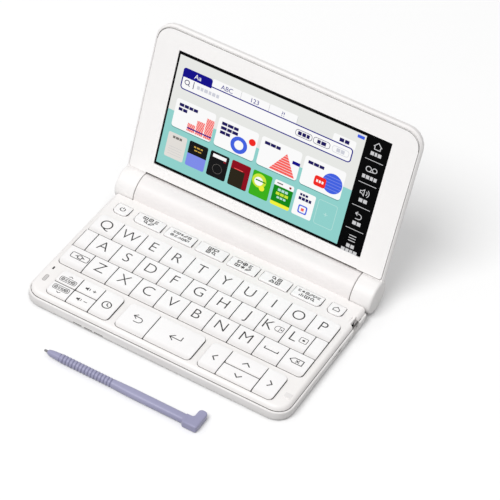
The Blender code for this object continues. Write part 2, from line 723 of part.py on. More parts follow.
def make_membrane(keys):
    """The rubber sheet under the keys, with a dome under each."""
    outline = rounded_outline((block_left + MEMBRANE_MARGIN, block_right - MEMBRANE_MARGIN,
                               control_front + MEMBRANE_MARGIN, function_rear), [GROUP_CORNER] * 4)
    body = plate("key_membrane", outline, membrane_z, membrane_top_z)
    domes = []
    for name, box, *_ in keys:
        place = ((box[0] + box[1]) * HALF_SHARE, (box[2] + box[3]) * HALF_SHARE)
        rings = []
        for z, share in ((membrane_top_z - MEMBRANE_THICKNESS * HALF_SHARE, 1.0),
                         (membrane_top_z, 1.0), (membrane_top_z + DOME_HEIGHT, HALF_SHARE)):
            circle = arc(place, DOME_RADIUS * share, 0.0, 4 * RIGHT_ANGLE, DOME_SIDES)[:-1]
            rings.append([(x, y, z) for x, y in circle])
        domes.append(loft(name, rings))
    join(body, *domes)
    dress(body, RUBBER_FINISH)


def make_board():
    """The circuit board on its bosses, with its chips underneath."""
    corner = CASE_CORNER - SHELL_WALL - BOARD_MARGIN
    outline = rounded_outline((-board_side, board_side, board_front, board_rear),
                              (corner, corner, REAR_CORNER, REAR_CORNER))
    body = plate("main_board", outline, board_z, board_z + BOARD_THICKNESS)
    chips = []
    depth = board_rear - board_front
    for index, (across, along, width, length) in enumerate(CHIP_SHARES):
        x, y = across * board_side, board_front + along * depth
        half_width, half_length = width * board_side * HALF_SHARE, length * depth * HALF_SHARE
        low, high = board_z - BOARD_THICKNESS * CHIP_HEIGHT_SHARE, board_z + BOARD_THICKNESS * HALF_SHARE
        chips.append(block(f"chip_{index}", x - half_width, x + half_width, y - half_length, y + half_length,
                           low, high))
    join(body, *chips)
    dress(body, BOARD_FINISH)


def make_batteries():
    """Two cells end to end in the barrel, each with its nub to the right."""
    nub = battery_length - BATTERY_NUB_LENGTH
    stations = [(-battery_length, battery_radius), (-BATTERY_NUB_LENGTH, battery_radius),
                (-BATTERY_NUB_LENGTH, BATTERY_NUB_RADIUS), (0.0, BATTERY_NUB_RADIUS),
                (0.0, battery_radius), (nub, battery_radius),
                (nub, BATTERY_NUB_RADIUS), (battery_length, BATTERY_NUB_RADIUS)]
    body = turned("battery_pair", stations, (hinge_y, hinge_z), BATTERY_SIDES)
    dress(body, BATTERY_FINISH)


def make_battery_cover():
    """The lower rear skin of the barrel, which slides off backwards."""
    centre = (hinge_y, hinge_z)
    start, end = TROUGH_ANGLE + cover_gap_angle, 4 * RIGHT_ANGLE + ARCH_ANGLE - cover_gap_angle
    profile = arc(centre, barrel_radius, start, end, ARC_STEPS)
    profile += arc(centre, barrel_bore, end, start, ARC_STEPS)
    body = extrusion("battery_cover", profile, -barrel_side, barrel_side)
    put_origin(body, (0.0, hinge_y, hinge_z))
    dress(body, SHELL_FINISH)


def make_shafts():
    """The two hinge shafts, each with a collar behind the end wall of the barrel."""
    collar = barrel_side - BARREL_END_WALL - CLEARANCE
    stations = [(collar - SHAFT_COLLAR_LENGTH, SHAFT_COLLAR_RADIUS), (collar, SHAFT_COLLAR_RADIUS),
                (collar, SHAFT_RADIUS), (barrel_side + SHAFT_REACH, SHAFT_RADIUS)]
    for name, side in (("hinge_shaft_left", -1), ("hinge_shaft_right", 1)):
        body = turned(name, [(side * x, radius) for x, radius in stations], (hinge_y, hinge_z), SHAFT_SIDES)
        dress(body, STEEL_FINISH)


def make_lid(hinge):
    """The lid's rear shell with its two knuckles, its front panel and the display between them."""
    radii = (REAR_CORNER, REAR_CORNER, LID_CORNER, LID_CORNER)
    box = (-lid_side, lid_side, LID_FOOT, lid_top)
    levels = [(lid_rim, LID_RIM_INSET)]
    levels += [(up * LID_DEPTH, inward * LID_BACK_INSET) for up, inward in LID_RING_SHARES]
    rings = [[(x, y, -depth) for x, y in rounded_outline(box, radii, inset)] for depth, inset in levels]
    shell = loft("lid_back_cover", rings)
    ends = ((-knuckle_side, lid_swing), (knuckle_side, lid_swing))
    cut(shell, turned("swing", ends, (0.0, 0.0), SWING_SIDES))
    floor = -LID_DEPTH + LID_BACK_SKIN
    wall = LID_WALL
    pocket = rounded_outline((-lid_side + wall, lid_side - wall, panel_foot + wall, lid_top - wall),
                             (REAR_CORNER, REAR_CORNER, LID_CORNER - wall, LID_CORNER - wall))
    cut(shell, plate("pocket", pocket, floor, OVERRUN))
    side, top = panel_side + CLEARANCE, panel_top + CLEARANCE
    corner = LID_CORNER - PANEL_EDGE
    rebate = rounded_outline((-side, side, lid_swing, top), (REAR_CORNER, REAR_CORNER, corner, corner))
    cut(shell, plate("rebate", rebate, -panel_back - CLEARANCE, OVERRUN))
    cut(shell, block("rebate_foot", -knuckle_side, knuckle_side, LID_FOOT, panel_foot + CLEARANCE,
                     -panel_back - CLEARANCE, OVERRUN))
    join(shell, *[knuckle(name, way) for name, way in (("knuckle_left", -1), ("knuckle_right", 1))])
    bore = SHAFT_RADIUS + CLEARANCE
    reach = barrel_side + SHAFT_REACH + 2 * CLEARANCE
    cut(shell, *[turned("bore", ((way * (knuckle_side - OVERRUN), bore), (way * reach, bore)),
                        (0.0, 0.0), SHAFT_SIDES) for way in (-1, 1)])
    dress(shell, SHELL_FINISH, hinge)

    corner -= CLEARANCE
    radii = (REAR_CORNER, REAR_CORNER, corner, corner)
    box = (-panel_side, panel_side, panel_foot, panel_top)
    levels = ((panel_back, 0.0), (PANEL_SETBACK + PANEL_BEVEL, 0.0), (PANEL_SETBACK, PANEL_BEVEL))
    panel = loft("lid_front_panel", [[(x, y, -depth) for x, y in rounded_outline(box, radii, inset)]
                                     for depth, inset in levels])
    left, right, low, high = window_box
    cut(panel, block("window", left, right, low, high, -panel_back - OVERRUN, OVERRUN))
    dress(panel, DECK_FINISH, hinge)

    glass = grow(window_box, -CLEARANCE)
    flange = grow(window_box, DISPLAY_FLANGE)
    rings = []
    for outline, depth in ((flange, LID_DEPTH - LID_BACK_SKIN - CLEARANCE), (flange, panel_back + CLEARANCE),
                           (glass, panel_back + CLEARANCE), (glass, PANEL_SETBACK + GLASS_SETBACK)):
        rings.append([(x, y, -depth) for x, y in rounded_outline(outline, [KEY_CORNER] * 4)])
    dress(loft("display_panel", rings), GLASS_FINISH, hinge)


def knuckle(name, way):
    """A round hinge knuckle with softened outer edge, on the left or right end of the lid."""
    outer = lid_side
    rounds = arc((outer - KNUCKLE_ROUND, barrel_radius - KNUCKLE_ROUND), KNUCKLE_ROUND, RIGHT_ANGLE, 0.0,
                 CORNER_STEPS)
    stations = [(way * knuckle_side, barrel_radius)] + [(way * x, radius) for x, radius in rounds]
    return turned(name, stations, (0.0, 0.0), KNUCKLE_SIDES)


def stylus_ring(x, width, height):
    """A rounded, slightly square section of the stylus."""
    ring = []
    for step in range(STYLUS_SIDES):
        angle = 4 * RIGHT_ANGLE * step / STYLUS_SIDES
        across, up = math.cos(math.radians(angle)), math.sin(math.radians(angle))
        y = math.copysign(abs(across) ** STYLUS_SQUARE_SHARE, across) * width * HALF_SHARE
        z = math.copysign(abs(up) ** STYLUS_SQUARE_SHARE, up) * height * HALF_SHARE
        ring.append((x, y, z))
    return ring


def stylus_sections():
    """The stylus from its tip: cone, collar, ribbed grip and the wider, flattened barrel."""
    tip_end = STYLUS_TIP * STYLUS_TIP_END_SHARE
    sections = [(0.0, tip_end, tip_end), (STYLUS_TIP_LENGTH, STYLUS_TIP * 2, STYLUS_TIP * 2)]
    grip = STYLUS_TIP_LENGTH + STYLUS_CONE_LENGTH
    sections.append((grip, STYLUS_NECK, STYLUS_NECK))
    for rib in range(STYLUS_RIBS):
        start = grip + (rib + 1) * STYLUS_RIB_PITCH
        low = STYLUS_GRIP - 2 * STYLUS_RIB_DEPTH
        for share, size in ((-0.35, STYLUS_GRIP), (-0.12, low), (0.12, low)):
            sections.append((start + share * STYLUS_RIB_PITCH, size, size))
    end = grip + (STYLUS_RIBS + 1) * STYLUS_RIB_PITCH
    sections.append((end, STYLUS_GRIP, STYLUS_GRIP))
    sections.append((end + STYLUS_TAPER_LENGTH, STYLUS_WIDTH, STYLUS_HEIGHT))
    sections.append((STYLUS_LENGTH - STYLUS_BLOCK_LENGTH * HALF_SHARE, STYLUS_WIDTH, STYLUS_HEIGHT))
    return sections


def stylus_head():
    """The hooked head: a block that steps out in front, and an arm that turns to the rear."""
    start, end = STYLUS_LENGTH - STYLUS_BLOCK_LENGTH, STYLUS_LENGTH
    half, turn, corner = STYLUS_WIDTH * HALF_SHARE, RIGHT_ANGLE, STYLUS_HOOK_ROUND
    arm = end - STYLUS_HOOK_LENGTH
    front = -half - STYLUS_BLOCK_REACH
    points = [(start, half), (start, -half), (start + STYLUS_BLOCK_REACH, front)]
    points += arc((end - corner, front + corner), corner, 3 * turn, 4 * turn, CORNER_STEPS)
    points += arc((end - corner, STYLUS_HOOK_REACH - corner), corner, 0.0, turn, CORNER_STEPS)
    points += arc((arm + corner, STYLUS_HOOK_REACH - corner), corner, turn, 2 * turn, CORNER_STEPS)
    points += arc((arm - corner, half + corner), corner, 4 * turn, 3 * turn, CORNER_STEPS)
    head = plate("head", points, -STYLUS_HEIGHT * HALF_SHARE, STYLUS_HEIGHT * HALF_SHARE)
    work = bmesh.new()
    work.from_mesh(head.data)
    rims = [edge for edge in work.edges if abs(edge.verts[0].co.z - edge.verts[1].co.z) < CLEARANCE]
    bmesh.ops.bevel(work, geom=rims, offset=STYLUS_HEAD_BEVEL, segments=2, profile=HALF_SHARE, affect="EDGES")
    work.to_mesh(head.data)
    work.free()
    return head


def make_stylus():
    """The stylus, lying in front of the case with its tip to the left."""
    body = loft("stylus", [stylus_ring(*section) for section in stylus_sections()])
    join(body, stylus_head())
    body.location = (-case_side + STYLUS_LEFT, case_front - STYLUS_AHEAD,
                     STYLUS_HEIGHT * HALF_SHARE - FEET_HEIGHT)
    dress(body, STYLUS_FINISH)


def main():
    for body in list(bpy.data.objects):
        bpy.data.objects.remove(body)
    hinge = bpy.data.objects.new("lid_hinge", None)
    bpy.context.scene.collection.objects.link(hinge)
    keys = key_places()
    make_bottom_case()
    make_top_case(keys)
    make_membrane(keys)
    make_board()
    make_batteries()
    make_battery_cover()
    make_shafts()
    make_keys(keys)
    make_lid(hinge)
    make_stylus()
    hinge.location = (0.0, hinge_y, hinge_z)
    hinge.rotation_euler = (math.radians(LID_ANGLE), 0.0, 0.0)
    bpy.context.view_layer.update()


main()
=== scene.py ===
import json
import math

import bmesh
import bpy
import numpy as np
from mathutils import Matrix, Vector


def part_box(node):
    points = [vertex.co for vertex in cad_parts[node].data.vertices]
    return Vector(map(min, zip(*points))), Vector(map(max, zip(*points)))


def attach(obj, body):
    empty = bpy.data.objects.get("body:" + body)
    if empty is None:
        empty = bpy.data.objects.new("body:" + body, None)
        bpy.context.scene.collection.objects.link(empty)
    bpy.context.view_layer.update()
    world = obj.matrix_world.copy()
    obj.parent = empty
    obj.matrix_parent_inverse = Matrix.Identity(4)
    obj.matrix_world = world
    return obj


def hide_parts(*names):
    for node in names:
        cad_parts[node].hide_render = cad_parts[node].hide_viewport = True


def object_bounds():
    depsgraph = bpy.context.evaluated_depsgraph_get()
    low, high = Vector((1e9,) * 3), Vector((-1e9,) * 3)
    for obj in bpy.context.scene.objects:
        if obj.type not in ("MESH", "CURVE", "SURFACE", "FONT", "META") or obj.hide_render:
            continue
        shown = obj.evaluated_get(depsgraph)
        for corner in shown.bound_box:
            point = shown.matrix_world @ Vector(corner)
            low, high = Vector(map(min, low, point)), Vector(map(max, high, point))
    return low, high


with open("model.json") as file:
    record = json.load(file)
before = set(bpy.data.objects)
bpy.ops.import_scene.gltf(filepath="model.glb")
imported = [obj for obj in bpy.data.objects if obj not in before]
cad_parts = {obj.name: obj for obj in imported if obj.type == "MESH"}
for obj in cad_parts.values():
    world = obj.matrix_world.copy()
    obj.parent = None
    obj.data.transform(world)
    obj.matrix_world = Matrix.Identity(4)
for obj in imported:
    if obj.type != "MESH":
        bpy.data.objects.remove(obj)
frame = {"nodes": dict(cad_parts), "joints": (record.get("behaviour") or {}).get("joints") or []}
nodes = frame["nodes"]
joints = {joint["name"]: joint for joint in frame["joints"]}
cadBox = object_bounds()
mm = 0.001


def addObject(name, data):
    thing = bpy.data.objects.new(name, data)
    bpy.context.scene.collection.objects.link(thing)
    return thing


# The view: where the photo was taken from, and the frame that it was cut to
view = {
    "place": (0.353999, -0.798095, 0.836741),  # metres, in the frame
    "azimuth": 24.135,  # degrees round to the right of the front
    "elevation": 42.376,  # degrees above the horizon
    "roll": 8.167,  # degrees, right side up
    "focalPixels": 2445.99,
    "imagePixels": 500.0,
    "axisPixel": (205.66, 239.23),  # where the lens looks straight ahead
    "sensor": 36.0,  # millimetres
    "nearest": 0.05, "farthest": 20.0,  # metres, the range that it sees
}


def makeCamera(look):
    # forward = (-sin az cos el, cos az cos el, -sin el); the right vector is (cos az, sin az, 0) rolled about it
    az, el, roll = (math.radians(look[key]) for key in ("azimuth", "elevation", "roll"))
    forward = np.array((-math.sin(az) * math.cos(el), math.cos(az) * math.cos(el), -math.sin(el)))
    level = np.array((math.cos(az), math.sin(az), 0.0))
    right = level * math.cos(roll) + np.cross(level, forward) * math.sin(roll)
    up = np.cross(right, forward)
    data = bpy.data.cameras.new("photoCamera")
    data.sensor_width = look["sensor"]
    data.lens = look["focalPixels"] / look["imagePixels"] * look["sensor"]
    half = look["imagePixels"] / 2
    data.shift_x = (half - look["axisPixel"][0]) / look["imagePixels"]
    data.shift_y = (look["axisPixel"][1] - half) / look["imagePixels"]
    data.clip_start, data.clip_end = look["nearest"], look["farthest"]
    camera = addObject("photoCamera", data)
    turn = Matrix(np.stack((right, up, -forward), axis=1).tolist()).to_4x4()
    camera.matrix_world = Matrix.Translation(look["place"]) @ turn
    bpy.context.scene.camera = camera


makeCamera(view)
print("camera in place")


# Node building

def tone(red, green, blue):
    # A screen colour of 0 to 255 as the linear colour that nodes use
    share = np.array((red, green, blue)) / 255.0
    linear = np.where(share <= 0.04045, share / 12.92, ((share + 0.055) / 1.055) ** 2.4)
    return (*linear.tolist(), 1.0)


def feed(tree, node, inputs):
    # Inputs by name: an output of another node is linked to its input, anything else is the input's value
    for name, value in inputs.items():
        if isinstance(value, bpy.types.NodeSocket):
            tree.links.new(value, node.inputs[name])
        else:
            node.inputs[name].default_value = value


def newNode(tree, kind, inputs=None):
    node = tree.nodes.new("ShaderNode" + kind)
    feed(tree, node, inputs or {})
    return node


def startMaterial(name):
    material = bpy.data.materials.new(name)
    material.use_nodes = True
    tree = material.node_tree
    return material, tree, tree.nodes["Principled BSDF"], newNode(tree, "TexCoord").outputs["Object"]


def noiseField(tree, place, size, detail=2.0, stretch=(1.0, 1.0, 1.0)):
    # Noise whose features are about "size" metres across
    mapping = newNode(tree, "Mapping", {"Vector": place, "Scale": [part / size for part in stretch]})
    noise = newNode(tree, "TexNoise", {"Vector": mapping.outputs["Vector"], "Scale": 1.0, "Detail": detail})
    return noise.outputs["Fac"]


def mixTones(tree, factor, first, second):
    mix = newNode(tree, "Mix")
    mix.data_type = "RGBA"
    tree.links.new(factor, mix.inputs["Factor"])
    colours = [item for item in mix.inputs if item.type == "RGBA"]
    for target, value in zip(colours, (first, second)):
        if isinstance(value, tuple):
            target.default_value = value
        else:
            tree.links.new(value, target)
    return [item for item in mix.outputs if item.type == "RGBA"][0]


def mapValue(tree, value, low, high, start=0.3, end=0.7):
    # A value of start to end, carried to low to high
    remap = newNode(tree, "MapRange", {"Value": value, "From Min": start, "From Max": end,
                                       "To Min": low, "To Max": high})
    return remap.outputs["Result"]


def addBump(tree, shader, height, distance):
    bump = newNode(tree, "Bump", {"Height": height, "Distance": distance, "Strength": 1.0})
    tree.links.new(bump.outputs["Normal"], shader.inputs["Normal"])


grain = {"cloudSize": 0.03, "glossShare": 0.3, "roughnessSwing": 0.03, "size": 0.00035, "depth": 0.000006,
         "specular": 0.42}  # sizes in metres
slopeShadeTones = {"cap": (232, 229, 228)}  # painted shade: the darker tone of a piece's falling side, where it has the attribute "fall"


def mouldedPlastic(name, pale, shade, roughness):
    # Two near tones in broad clouds, a satin gloss that wanders a little, and a fine spark-eroded grain
    material, tree, shader, place = startMaterial(name)
    clouds = mapValue(tree, noiseField(tree, place, grain["cloudSize"]), 0.0, 1.0)
    colour = mixTones(tree, clouds, tone(*pale), tone(*shade))
    # Painted shade: where a piece has the attribute "fall", its colour darkens towards the slope's shade tone
    if name in slopeShadeTones:
        fall = newNode(tree, "Attribute")
        fall.attribute_name = "fall"
        colour = mixTones(tree, fall.outputs["Fac"], colour, tone(*slopeShadeTones[name]))
    gloss, swing = noiseField(tree, place, grain["cloudSize"] * grain["glossShare"]), grain["roughnessSwing"]
    feed(tree, shader, {"Base Color": colour, "Specular IOR Level": grain["specular"],
                        "Roughness": mapValue(tree, gloss, roughness - swing, roughness + swing)})
    addBump(tree, shader, noiseField(tree, place, grain["size"], 3.0), grain["depth"])
    return material


plastics = {  # pale tone, shaded tone, roughness
    "shell": ((243, 241, 240), (240, 237, 236), 0.46),
    "deck": ((246, 243, 242), (243, 240, 238), 0.42),
    # partly painted light: a whiter plastic that also stands in for the light on the lid's face
    "bezel": ((251, 249, 248), (249, 247, 246), 0.42),
    # painted shade: a greyer copy of the deck's white for the barrel
    "barrel": ((238, 234, 233), (235, 231, 230), 0.42),
    "cap": ((249, 248, 248), (247, 245, 245), 0.38),
    # painted shade for the walls of the keys in their narrow gaps
    "capWall": ((112, 109, 108), (100, 97, 96), 0.55),
    "lamp": ((208, 205, 204), (196, 193, 192), 0.30),
    # painted shade for the insides of holes and slots
    "port": ((46, 45, 46), (30, 30, 31), 0.55),
    "flap": ((186, 184, 183), (174, 172, 171), 0.50),
    "pad": ((238, 235, 234), (230, 227, 226), 0.60),
    # painted shade for gaps: the case's seam, the front slits and the lid's joints
    "seam": ((84, 81, 80), (72, 70, 69), 0.60),
    # painted shade for the barrel's joints, the lamp's rim and the lid's foot
    "joint": ((168, 164, 162), (156, 152, 150), 0.60),
    "pen": ((162, 161, 190), (154, 153, 183), 0.34),
    # painted shade in the grooves of the pen's grip
    "penGrooveShade": ((128, 127, 156), (120, 119, 148), 0.45),
    "penTip": ((132, 131, 134), (116, 115, 118), 0.42),
    "rubber": ((188, 190, 191), (172, 174, 176), 0.72),
    "ink": ((64, 62, 62), (52, 50, 50), 0.50),
}
plastic = {name: mouldedPlastic(name, *look) for name, look in plastics.items()}


steel = {"streak": 0.0004, "stretch": (1.0, 0.08, 0.08), "shade": (170, 170, 174), "pale": (204, 204, 208),
         "roughness": (0.22, 0.38), "depth": 0.000004}


def brushedSteel():
    # A metal whose brightness runs in fine streaks round the shaft
    material, tree, shader, place = startMaterial("steel")
    streaks = noiseField(tree, place, steel["streak"], stretch=steel["stretch"])
    feed(tree, shader, {"Base Color": mixTones(tree, streaks, tone(*steel["shade"]), tone(*steel["pale"])),
                        "Roughness": mapValue(tree, streaks, *steel["roughness"]), "Metallic": 1.0})
    addBump(tree, shader, streaks, steel["depth"])
    return material


board = {"trackScale": 180.0, "trackGap": 0.03, "padScale": 260.0, "padEdge": (0.16, 0.20),
         "tracks": ((22, 96, 58), (18, 84, 52)), "gaps": (58, 140, 88), "pads": (196, 168, 96),
         "roughness": 0.34, "depth": 0.00002}


def circuitBoard():
    # Green mask over copper tracks: a brick pattern gives the tracks, cells give the pads
    material, tree, shader, place = startMaterial("board")
    first, second = (tone(*colour) for colour in board["tracks"])
    tracks = newNode(tree, "TexBrick", {
        "Vector": place, "Scale": board["trackScale"], "Mortar Size": board["trackGap"],
        "Color1": first, "Color2": second, "Mortar": tone(*board["gaps"])})
    pads = newNode(tree, "TexVoronoi", {"Vector": place, "Scale": board["padScale"]})
    mask = mapValue(tree, pads.outputs["Distance"], 1.0, 0.0, *board["padEdge"])
    colour = mixTones(tree, mask, tracks.outputs["Color"], tone(*board["pads"]))
    feed(tree, shader, {"Base Color": colour, "Roughness": board["roughness"]})
    addBump(tree, shader, tracks.outputs["Fac"], board["depth"])
    return material


cell = {
    "length": 0.0505,  # metres
    "bands": (  # where each begins, as a share of the length: bare steel, sleeve, pale band, bare steel
        (0.0, (190, 190, 192)), (0.02, (38, 44, 74)), (0.78, (206, 206, 210)), (0.96, (190, 190, 192))),
    "grain": 0.002, "roughness": (0.26, 0.36), "metallic": 0.55,
}


def cellSleeve():
    # Along each cell: bare steel at both ends, a dark sleeve with a pale band near the nub
    material, tree, shader, place = startMaterial("cellSleeve")
    split = newNode(tree, "SeparateXYZ", {"Vector": place})
    wrap = newNode(tree, "Math")
    wrap.operation = "WRAP"
    feed(tree, wrap, {0: split.outputs["X"], 1: cell["length"], 2: 0.0})
    along = mapValue(tree, wrap.outputs["Value"], 0.0, 1.0, 0.0, cell["length"])
    ramp = newNode(tree, "ValToRGB", {"Fac": along})
    ramp.color_ramp.interpolation = "CONSTANT"
    for index, (position, colour) in enumerate(cell["bands"]):
        stop = ramp.color_ramp.elements[index] if index < 2 else ramp.color_ramp.elements.new(position)
        stop.position, stop.color = position, tone(*colour)
    rough = mapValue(tree, noiseField(tree, place, cell["grain"]), *cell["roughness"])
    feed(tree, shader, {"Base Color": ramp.outputs["Color"], "Roughness": rough, "Metallic": cell["metallic"]})
    return material


metals = {"steel": brushedSteel(), "board": circuitBoard(), "cells": cellSleeve()}
screenLook = {"gridScale": 1200.0, "dimmed": 0.94, "unlit": (4, 4, 5), "roughness": 0.34, "specular": 0.03,
              "dust": 0.0012, "border": ((1, 1, 2), (5, 5, 6)), "borderRoughness": (0.24, 0.36)}


def screenInk(name, colour):
    # A lit picture colour behind a fine grid of picture cells, which dims it by a few per cent
    material, tree, shader, place = startMaterial(name)
    cells = newNode(tree, "TexWave", {"Vector": place, "Scale": screenLook["gridScale"], "Distortion": 0.0})
    cells.bands_direction = "X"
    dim = tuple(part * screenLook["dimmed"] for part in colour[:3]) + (1.0,)
    feed(tree, shader, {"Emission Color": mixTones(tree, cells.outputs["Fac"], dim, colour),
                        "Emission Strength": 1.0, "Base Color": tone(*screenLook["unlit"]),
                        "Roughness": screenLook["roughness"], "Specular IOR Level": screenLook["specular"]})
    return material


def blackGlass():
    # The border under the glass: near black, with faint specks of dust in its gloss
    material, tree, shader, place = startMaterial("blackGlass")
    specks = noiseField(tree, place, screenLook["dust"], 4.0)
    first, second = (tone(*colour) for colour in screenLook["border"])
    feed(tree, shader, {"Base Color": mixTones(tree, specks, first, second),
                        "Roughness": mapValue(tree, specks, *screenLook["borderRoughness"]),
                        "Specular IOR Level": screenLook["specular"]})
    return material


screenTones = {
    "mist": (234, 235, 232), "teal": (146, 211, 206), "white": (253, 253, 253), "navy": (16, 10, 138),
    "ink": (28, 20, 92), "lineGrey": (196, 197, 200), "hint": (208, 210, 220), "coral": (250, 98, 92),
    "red": (243, 42, 34), "blue": (66, 98, 226), "paper": (228, 224, 219), "soot": (20, 20, 21),
    "sky": (128, 142, 236), "maroon": (142, 8, 26), "umber": (42, 36, 22), "leaf": (60, 178, 24),
    "lime": (206, 232, 60), "forest": (14, 138, 20), "lemon": (244, 244, 60), "gold": (206, 168, 74),
    "stone": (120, 116, 112), "tealShade": (86, 150, 146), "paleTeal": (184, 226, 220),
    "printGrey": (206, 206, 208),
}
screenInks = {name: screenInk("screen_" + name, tone(*colour)) for name, colour in screenTones.items()}
screenInks["black"] = blackGlass()
print("materials:", len(bpy.data.materials))


# Outlines and surfaces

def cornerOutline(box, radii, inset=0.0, steps=8):
    # Each corner is a quarter circle about its own centre: c + r (cos t, sin t), r shrinking with the inset
    left, right, front, rear = box[0] + inset, box[1] - inset, box[2] + inset, box[3] - inset
    corners = ((left, front, 1, 1), (right, front, -1, 1), (right, rear, -1, -1), (left, rear, 1, -1))
    points = []
    for quarter, ((x, y, across, along), radius) in enumerate(zip(corners, radii)):
        radius = max(radius - inset, radius * 0.2)
        angle = np.radians(np.linspace(180.0, 270.0, steps + 1) + 90.0 * quarter)
        centre = np.array((x + across * radius, y + along * radius))
        points.append(centre + radius * np.stack((np.cos(angle), np.sin(angle)), axis=1))
    return np.concatenate(points)


def circleOutline(x, y, radius, count=32, start=0.0, sweep=360.0):
    # (x, y) + r (cos t, sin t), over a whole turn or a part of one
    whole = abs(sweep) >= 360.0
    angle = np.radians(np.linspace(start, start + sweep, count, endpoint=not whole))
    return np.stack((x + radius * np.cos(angle), y + radius * np.sin(angle)), axis=1)


def ringFaces(levels, count):
    # Quads between neighbouring rings of "count" points, and one face over each end
    grid = np.arange(levels * count).reshape(levels, count)
    after = np.roll(grid, -1, axis=1)
    quads = np.stack((grid[:-1], after[:-1], after[1:], grid[1:]), axis=-1).reshape(-1, 4)
    return quads.tolist() + [grid[0, ::-1].tolist(), grid[-1].tolist()]


def loopFaces(levels, count):
    # Quads between rings that close on the first one, as on a wheel's tyre
    grid = np.arange(levels * count).reshape(levels, count)
    after, above = np.roll(grid, -1, axis=1), np.roll(grid, -1, axis=0)
    return np.stack((grid, after, np.roll(above, -1, axis=1), above), axis=-1).reshape(-1, 4).tolist()


def readMesh(items, what):
    # A vector of every vertex or face, one to a row
    values = np.zeros(len(items) * 3)
    items.foreach_get(what, values)
    return values.reshape(-1, 3)


def weld(mesh, reach):
    # Points nearer to each other than "reach" become one
    work = bmesh.new()
    work.from_mesh(mesh)
    bmesh.ops.remove_doubles(work, verts=work.verts, dist=reach)
    work.to_mesh(mesh)
    work.free()


def makePiece(name, points, faces, materials, body, replaced=(), sharp=32.0, indices=None):
    # One object from plain arrays, merged where points coincide, smooth except along edges sharper than "sharp"
    mesh = bpy.data.meshes.new(name)
    mesh.from_pydata(np.asarray(points, float).tolist(), [], faces)
    for material in materials:
        mesh.materials.append(material)
    if indices is not None:
        mesh.polygons.foreach_set("material_index", np.asarray(indices, np.int32))
    weld(mesh, 1e-7)
    return placePiece(name, mesh, body, replaced, sharp)


def placePiece(name, mesh, body, replaced=(), sharp=32.0):
    mesh.polygons.foreach_set("use_smooth", np.ones(len(mesh.polygons), bool))
    mesh.set_sharp_from_angle(angle=math.radians(sharp))
    mesh.update()
    piece = addObject(name, mesh)
    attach(piece, body)
    if replaced:
        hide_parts(*replaced)
    return piece


def mergedCopy(node, name, material, body):
    # A CAD node's loose triangles joined up, so that its round faces shade smoothly
    mesh = nodes[node].data.copy()
    mesh.name = name
    weld(mesh, 1e-6)
    mesh.attributes.remove(mesh.attributes["custom_normal"])
    mesh.materials.clear()
    mesh.materials.append(material)
    return placePiece(name, mesh, body, (node,))


def paintWhere(piece, material, test):
    # Faces whose middle, in millimetres, passes the test take another material
    mesh = piece.data
    mesh.materials.append(material)
    chosen = test(readMesh(mesh.polygons, "center") / mm)
    mesh.polygons.foreach_set("material_index", chosen.astype(np.int32))


def roundEdges(piece, radius, steepest=30.0):
    # A rounding in millimetres of the edges that turn more than "steepest" degrees
    bevel = piece.modifiers.new("round", "BEVEL")
    bevel.width, bevel.segments, bevel.limit_method = radius * mm, 3, "ANGLE"
    bevel.angle_limit = math.radians(steepest)


# Marks: flat shapes in millimetres that are printed on a surface. Each one is a closed sliver of ink

def fill(points, ink, layer=1):
    return {"kind": "fill", "points": np.asarray(points, float), "ink": ink, "layer": layer}


def stroke(points, width, ink="ink", closed=False, layer=1):
    return {"kind": "stroke", "points": np.asarray(points, float), "width": width, "ink": ink,
            "closed": closed, "layer": layer}


def drawn(lines, x=0.0, y=0.0, ink="ink"):
    # Strokes from rows of points, width and whether the line closes, moved to a place
    return [stroke(np.asarray(points, float) + (x, y), width, ink, closed) for points, width, closed in lines]


def letters(text, x, y, height, ink="ink", stretch=1.0, thin=0.0, layer=1):
    return {"kind": "letters", "text": text, "place": (x, y), "height": height, "ink": ink,
            "stretch": stretch, "thin": thin, "layer": layer}


def bar(x, y, width, height, ink, layer=1, radius=0.0):
    # A block round its middle, with rounded corners where a radius is given
    half = (width / 2, height / 2)
    box = (x - half[0], x + half[0], y - half[1], y + half[1])
    steps = 5 if radius else 1
    return fill(cornerOutline(box, [max(radius, 1e-4)] * 4, steps=steps), ink, layer)


def fillArrays(mark):
    # The outline twice, low and high, with side faces between; turned anticlockwise first
    points = mark["points"]
    after = np.roll(points, -1, axis=0)
    if np.sum(points[:, 0] * after[:, 1] - after[:, 0] * points[:, 1]) < 0:
        points = points[::-1]
    count = len(points)
    flat = np.concatenate((points, points))
    height = np.repeat((0.0, 1.0), count)
    return flat, height, ringFaces(2, count)


def strokeArrays(mark):
    # A band of even width along a line: each point moves sideways by half the width over its mitre
    points, closed = mark["points"], mark["closed"]
    run = np.roll(points, -1, axis=0) - points
    side = np.stack((-run[:, 1], run[:, 0]), axis=1)
    side /= np.maximum(np.linalg.norm(side, axis=1, keepdims=True), 1e-9)
    before = np.roll(side, 1, axis=0)
    if not closed:
        before[0], side[-1] = side[0], side[-2]
    mitre = before + side
    mitre /= np.linalg.norm(mitre, axis=1, keepdims=True)
    reach = mark["width"] / 2 / np.maximum(np.sum(mitre * side, axis=1, keepdims=True), 0.4)
    left, right = points + mitre * reach, points - mitre * reach
    count = len(points)
    flat = np.concatenate((left, right, left, right))
    height = np.repeat((0.0, 0.0, 1.0, 1.0), count)
    here = np.arange(count if closed else count - 1)
    after = (here + 1) % count
    lowLeft, lowRight, topLeft, topRight = (np.array((here, after)) + count * part for part in range(4))
    quads = [(topRight[0], topRight[1], topLeft[1], topLeft[0]),
             (lowLeft[0], lowLeft[1], lowRight[1], lowRight[0]),
             (topLeft[0], topLeft[1], lowLeft[1], lowLeft[0]),
             (lowRight[0], lowRight[1], topRight[1], topRight[0])]
    faces = np.concatenate([np.stack(quad, axis=1) for quad in quads]).tolist()
    if not closed:
        last = count - 1
        faces.append([3 * count, 2 * count, 0, count])
        faces.append([2 * count + last, 3 * count + last, count + last, last])
    return flat, height, faces


